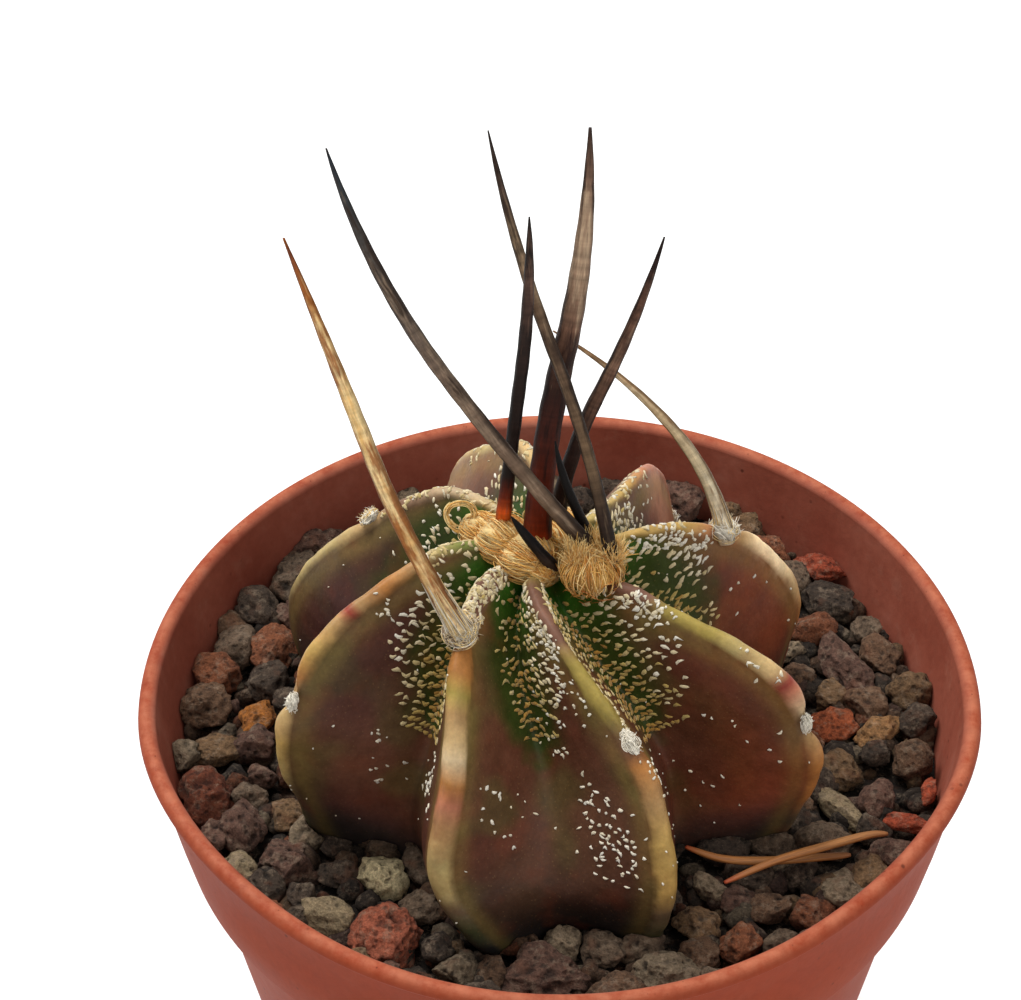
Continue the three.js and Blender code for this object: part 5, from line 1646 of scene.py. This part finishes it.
def stone_shape(level, holes, random, seed):
    """A broken lava stone of radius about 1, and how deep each point lies in a hole."""
    points, triangles = BALLS[level]
    points = points * (1 + 0.26 * noise_at(points, 0.9, seed))[:, None]
    for _ in range(random.integers(*STONE_BREAKS)):
        normal = unit(random.normal(size=3))
        over = points @ normal - random.uniform(*BREAK_REACH)
        points = points - np.maximum(over, 0)[:, None] * 0.9 * normal
    radial = unit(points)
    rough = 0.13 * noise_at(points, 0.34, seed + 1) + 0.07 * noise_at(points, 0.14, seed + 2)
    points = points + radial * rough[:, None]
    pit = np.zeros(len(points))
    for _ in range(int(holes * random.integers(*STONE_HOLES))):
        centre = unit(random.normal(size=3))
        size = random.uniform(*HOLE_SIZES)
        inside = np.clip(1 - np.linalg.norm(radial - centre, axis=1) / size, 0, 1)
        depth = smoothstep(inside, 0, 0.6)
        pit = np.maximum(pit, depth)
        points = points - radial * (depth * size * 0.6)[:, None]
    return points, triangles, pit


def stone(place, level, color, holes, foot, random, seed):
    """A stone set in the bed, or None where the plant takes its place."""
    x, y, length, width, height, spin, tilt = place
    points, triangles, pit = stone_shape(level, holes, random, seed)
    turned = Matrix.Rotation(math.radians(tilt), 3, "X") @ Matrix.Rotation(math.radians(spin), 3, "Z")
    points = (points * (length / 2, width / 2, height / 2)) @ np.array(turned).T
    points = points + (x, y, gravel_level(x, y) - GRAIN_SINK * height / 2)
    points, hidden = foot.keep_out(points)
    if hidden > STONE_MOST_HIDDEN:
        return None
    points = keep_in(points)
    shade = linear(STONE_COLORS[color]) * random.uniform(0.8, 1.2)
    return points, triangles, {"tone": np.tile(shade, (len(points), 1)), "pit": pit}


def gravel(foot):
    random = np.random.default_rng(5)
    material = stone_material()
    marked, loose = [], [[], []]
    for index, place in enumerate(stone_places(seeded_random(GRAIN_SEED))):
        if index < len(MARKED_STONES):
            color, holes = MARKED_STONES[index][5:]
            level = 5 if place[2] + place[3] > FINE_STONE_SIZE else 4
        else:
            color, holes = random.choice(COMMON_COLORS), random.choice([0.1, 0.4, 0.8])
            level = 4
        made = stone(place, level, color, holes, foot, random, 200 + 3 * index)
        if made:
            (marked if index < len(MARKED_STONES) else loose[index % 2]).append(made)
    groups = {"gravel_marked_stones": marked, "gravel_stones_even": loose[0], "gravel_stones_odd": loose[1],
              "gravel_crumbs": crumbs(foot, random)}
    for name, parts in groups.items():
        points, triangles, values = joined(parts)
        made = piece(name, points, triangles, material, values)
        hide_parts("lava_gravel")


def crumbs(foot, random):
    """Small stones in the gaps between the large ones."""
    made = []
    for index in range(CRUMB_COUNT):
        distance = math.sqrt(random.uniform(*(radius**2 for radius in CRUMB_RING)))
        turn = random.uniform(-math.pi, math.pi)
        x, y = distance * math.cos(turn), distance * math.sin(turn)
        radius = lerp(*CRUMB_RADII, random.random() ** CRUMB_SMALLNESS)
        points, triangles = BALLS[2]
        points = points * (1 + 0.35 * noise_at(points, 0.8, 900 + index))[:, None]
        stretch = random.uniform(0.7, 1.15, 3)
        points = points * stretch * radius + (x, y, GRAVEL_BED_TOP + random.uniform(0.0, 0.9))
        points, hidden = foot.keep_out(points)
        if hidden > CRUMB_MOST_HIDDEN:
            continue
        # The crumbs are made darker than the stones, by a random amount, as painted shadow in the gaps
        # between the large stones
        shade = linear(STONE_COLORS[random.choice(COMMON_COLORS)]) * random.uniform(0.35, 0.9)
        made.append((keep_in(points), triangles,
                     {"tone": np.tile(shade, (len(points), 1)), "pit": np.full(len(points), 0.2)}))
    return made


def gravel_bed(foot):
    """The fines that fill the pot under the stones, darkened as painted shadow in the gaps: a ring between
    the plant and the wall.
    """
    azimuth = np.radians(np.arange(-180, 180, BED_STEP_DEGREES))
    columns = len(azimuth)
    outline = []
    for share, height in BED_SECTION:
        inner = foot.radius(azimuth, np.full(columns, float(height))) + BED_GAP
        inner_points = np.stack([PLANT_X + inner * np.cos(azimuth), inner * np.sin(azimuth)], -1)
        outer = float(inner_wall_radius(height)) - BED_GAP
        outer_points = np.stack([outer * np.cos(azimuth), outer * np.sin(azimuth)], -1)
        flat = lerp(inner_points, outer_points, share)
        outline.append(np.concatenate([flat, np.full((columns, 1), float(height))], 1))
    rows = len(outline)
    points = np.concatenate(outline)
    top = points[:, 2] >= GRAVEL_BED_TOP - 0.01
    points[top, 2] += 0.35 * noise_at(points[top], 1.4, 31)
    wrapped = grid_triangles(rows, columns)
    closing = grid_triangles(2, columns)
    last = (rows - 1) * columns
    closing = np.where(closing < columns, closing + last, closing - columns)
    # Painted shadow: the fines are made very dark to stand for the shade in the gaps between the stones
    color = np.tile(linear(STONE_COLORS["charcoal"]) * 0.3, (len(points), 1))
    made = piece("gravel_fines", points, np.concatenate([wrapped, closing]), stone_material(),
                 {"tone": color, "pit": np.zeros(len(points))})
    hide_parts("lava_gravel")


# Dry needle leaves on the gravel

DRY_NEEDLES = {
    "dry_needle_straight": [
        (8.8, -11.8, -4.2), (11.2, -12.9, -4.1), (14.1, -13.1, -4.1), (18.3, -12.8, -4.0),
        (20.1, -12.6, -4.0),
    ],
    "dry_needle_bent": [
        (11.3, -15.2, -3.9), (14.9, -13.8, -3.2), (18.3, -12.7, -3.0), (21.3, -11.6, -3.1),
        (22.7, -11.3, -3.3),
    ],
}
NEEDLE_WIDTH = 0.8
NEEDLE_THICKNESS = 0.6
NEEDLE_ROWS = 60
NEEDLE_SIDES = 14
# How wide the finished needle is, as a share of the plain one
NEEDLE_SLIMNESS = 0.82


def dry_needle(name):
    stops = DRY_NEEDLES[name]
    way = np.linspace(0, 1, NEEDLE_ROWS)
    route = spline(stops, way * (len(stops) - 1))
    taper = np.clip(np.sin(np.linspace(0.06, math.pi - 0.06, NEEDLE_ROWS)), 0, 1) ** 0.35
    half_width = NEEDLE_SLIMNESS * NEEDLE_WIDTH / 2 * taper
    half_depth = half_width * NEEDLE_THICKNESS / NEEDLE_WIDTH
    upward = np.array([0, 0, 1.0])
    points, triangles = tubes(route[None], half_width[None], half_depth[None], NEEDLE_SIDES, upward)
    turn = np.tile(2 * math.pi * np.arange(NEEDLE_SIDES) / NEEDLE_SIDES, NEEDLE_ROWS)
    row_way = np.repeat(way, NEEDLE_SIDES)
    grain = np.stack([0.45 * np.cos(turn), 0.3 * np.sin(turn), row_way * 1.2], -1)
    values = {
        "way": np.concatenate([row_way, [0, 1]]),
        "grain": np.concatenate([grain, [[0, 0, 0], [0, 0, 1.2]]]) * MM,
    }
    made = piece(name + "_fine", points, triangles, needle_material(), values)
    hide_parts(name)


# Stage, camera and light

FLOOR_HALF_SIZE = 3.0
SKY_STRENGTH = 0.45
# Soft boxes: place, size and power. The main one is behind on the left, a weaker one at the front right.
SOFT_BOXES = [((-0.2, 0.22, 0.6), 0.4, 4.6), ((0.4, -0.3, 0.5), 0.5, 1.2)]


def stage():
    shader = Shader("pale_floor")
    shader.set(Base_Color=(0.9, 0.9, 0.89), Roughness=0.7, Emission_Color=(1, 1, 1), Emission_Strength=0.12)
    mesh = bpy.data.meshes.new("floor")
    turns = ((-1, -1), (1, -1), (1, 1), (-1, 1))
    corners = [(x * FLOOR_HALF_SIZE, y * FLOOR_HALF_SIZE, 0) for x, y in turns]
    mesh.from_pydata(corners, [], [(0, 1, 2, 3)])
    mesh.materials.append(shader.material)
    floor = bpy.data.objects.new("floor", mesh)
    bpy.context.scene.collection.objects.link(floor)
    world = bpy.data.worlds.new("studio")
    world.use_nodes = True
    world.node_tree.nodes["Background"].inputs["Color"].default_value = (1, 1, 1, 1)
    world.node_tree.nodes["Background"].inputs["Strength"].default_value = SKY_STRENGTH
    bpy.context.scene.world = world
    for place, size, power in SOFT_BOXES:
        add_area(place, size, power)
    bpy.context.scene.view_settings.view_transform = "Standard"


def add_area(place, size, power):
    lamp = bpy.data.lights.new("soft_box", "AREA")
    lamp.size = size
    lamp.energy = power
    holder = bpy.data.objects.new("soft_box", lamp)
    holder.location = place
    aim = Vector((0, 0, RIM_HEIGHT * MM)) - Vector(place)
    holder.rotation_euler = aim.to_track_quat("-Z", "Y").to_euler()
    bpy.context.scene.collection.objects.link(holder)


def camera():
    lens = bpy.data.cameras.new("camera")
    lens.lens = CAMERA_LENS
    holder = bpy.data.objects.new("camera", lens)
    forward, up = Vector(CAMERA_FORWARD).normalized(), Vector(CAMERA_UP).normalized()
    right = forward.cross(up).normalized()
    turned = Matrix((right, right.cross(forward), -forward)).transposed()
    place = (Vector(CAMERA_PLACE) + Vector((0, 0, RIM_HEIGHT))) * MM
    holder.matrix_world = Matrix.Translation(place) @ turned.to_4x4()
    bpy.context.scene.collection.objects.link(holder)
    bpy.context.scene.camera = holder


camera()
stage()
skin = Skin()
foot = PlantFoot(skin)
body(skin)
flecks(skin)
areole_wool()
crown_wool()
for spine_name in SPINES:
    spine(spine_name)
pot()
gravel(foot)
gravel_bed(foot)
for needle_name in DRY_NEEDLES:
    dry_needle(needle_name)
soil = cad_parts["potting_soil"]
soil.data.materials.clear()
soil.data.materials.append(soil_material())
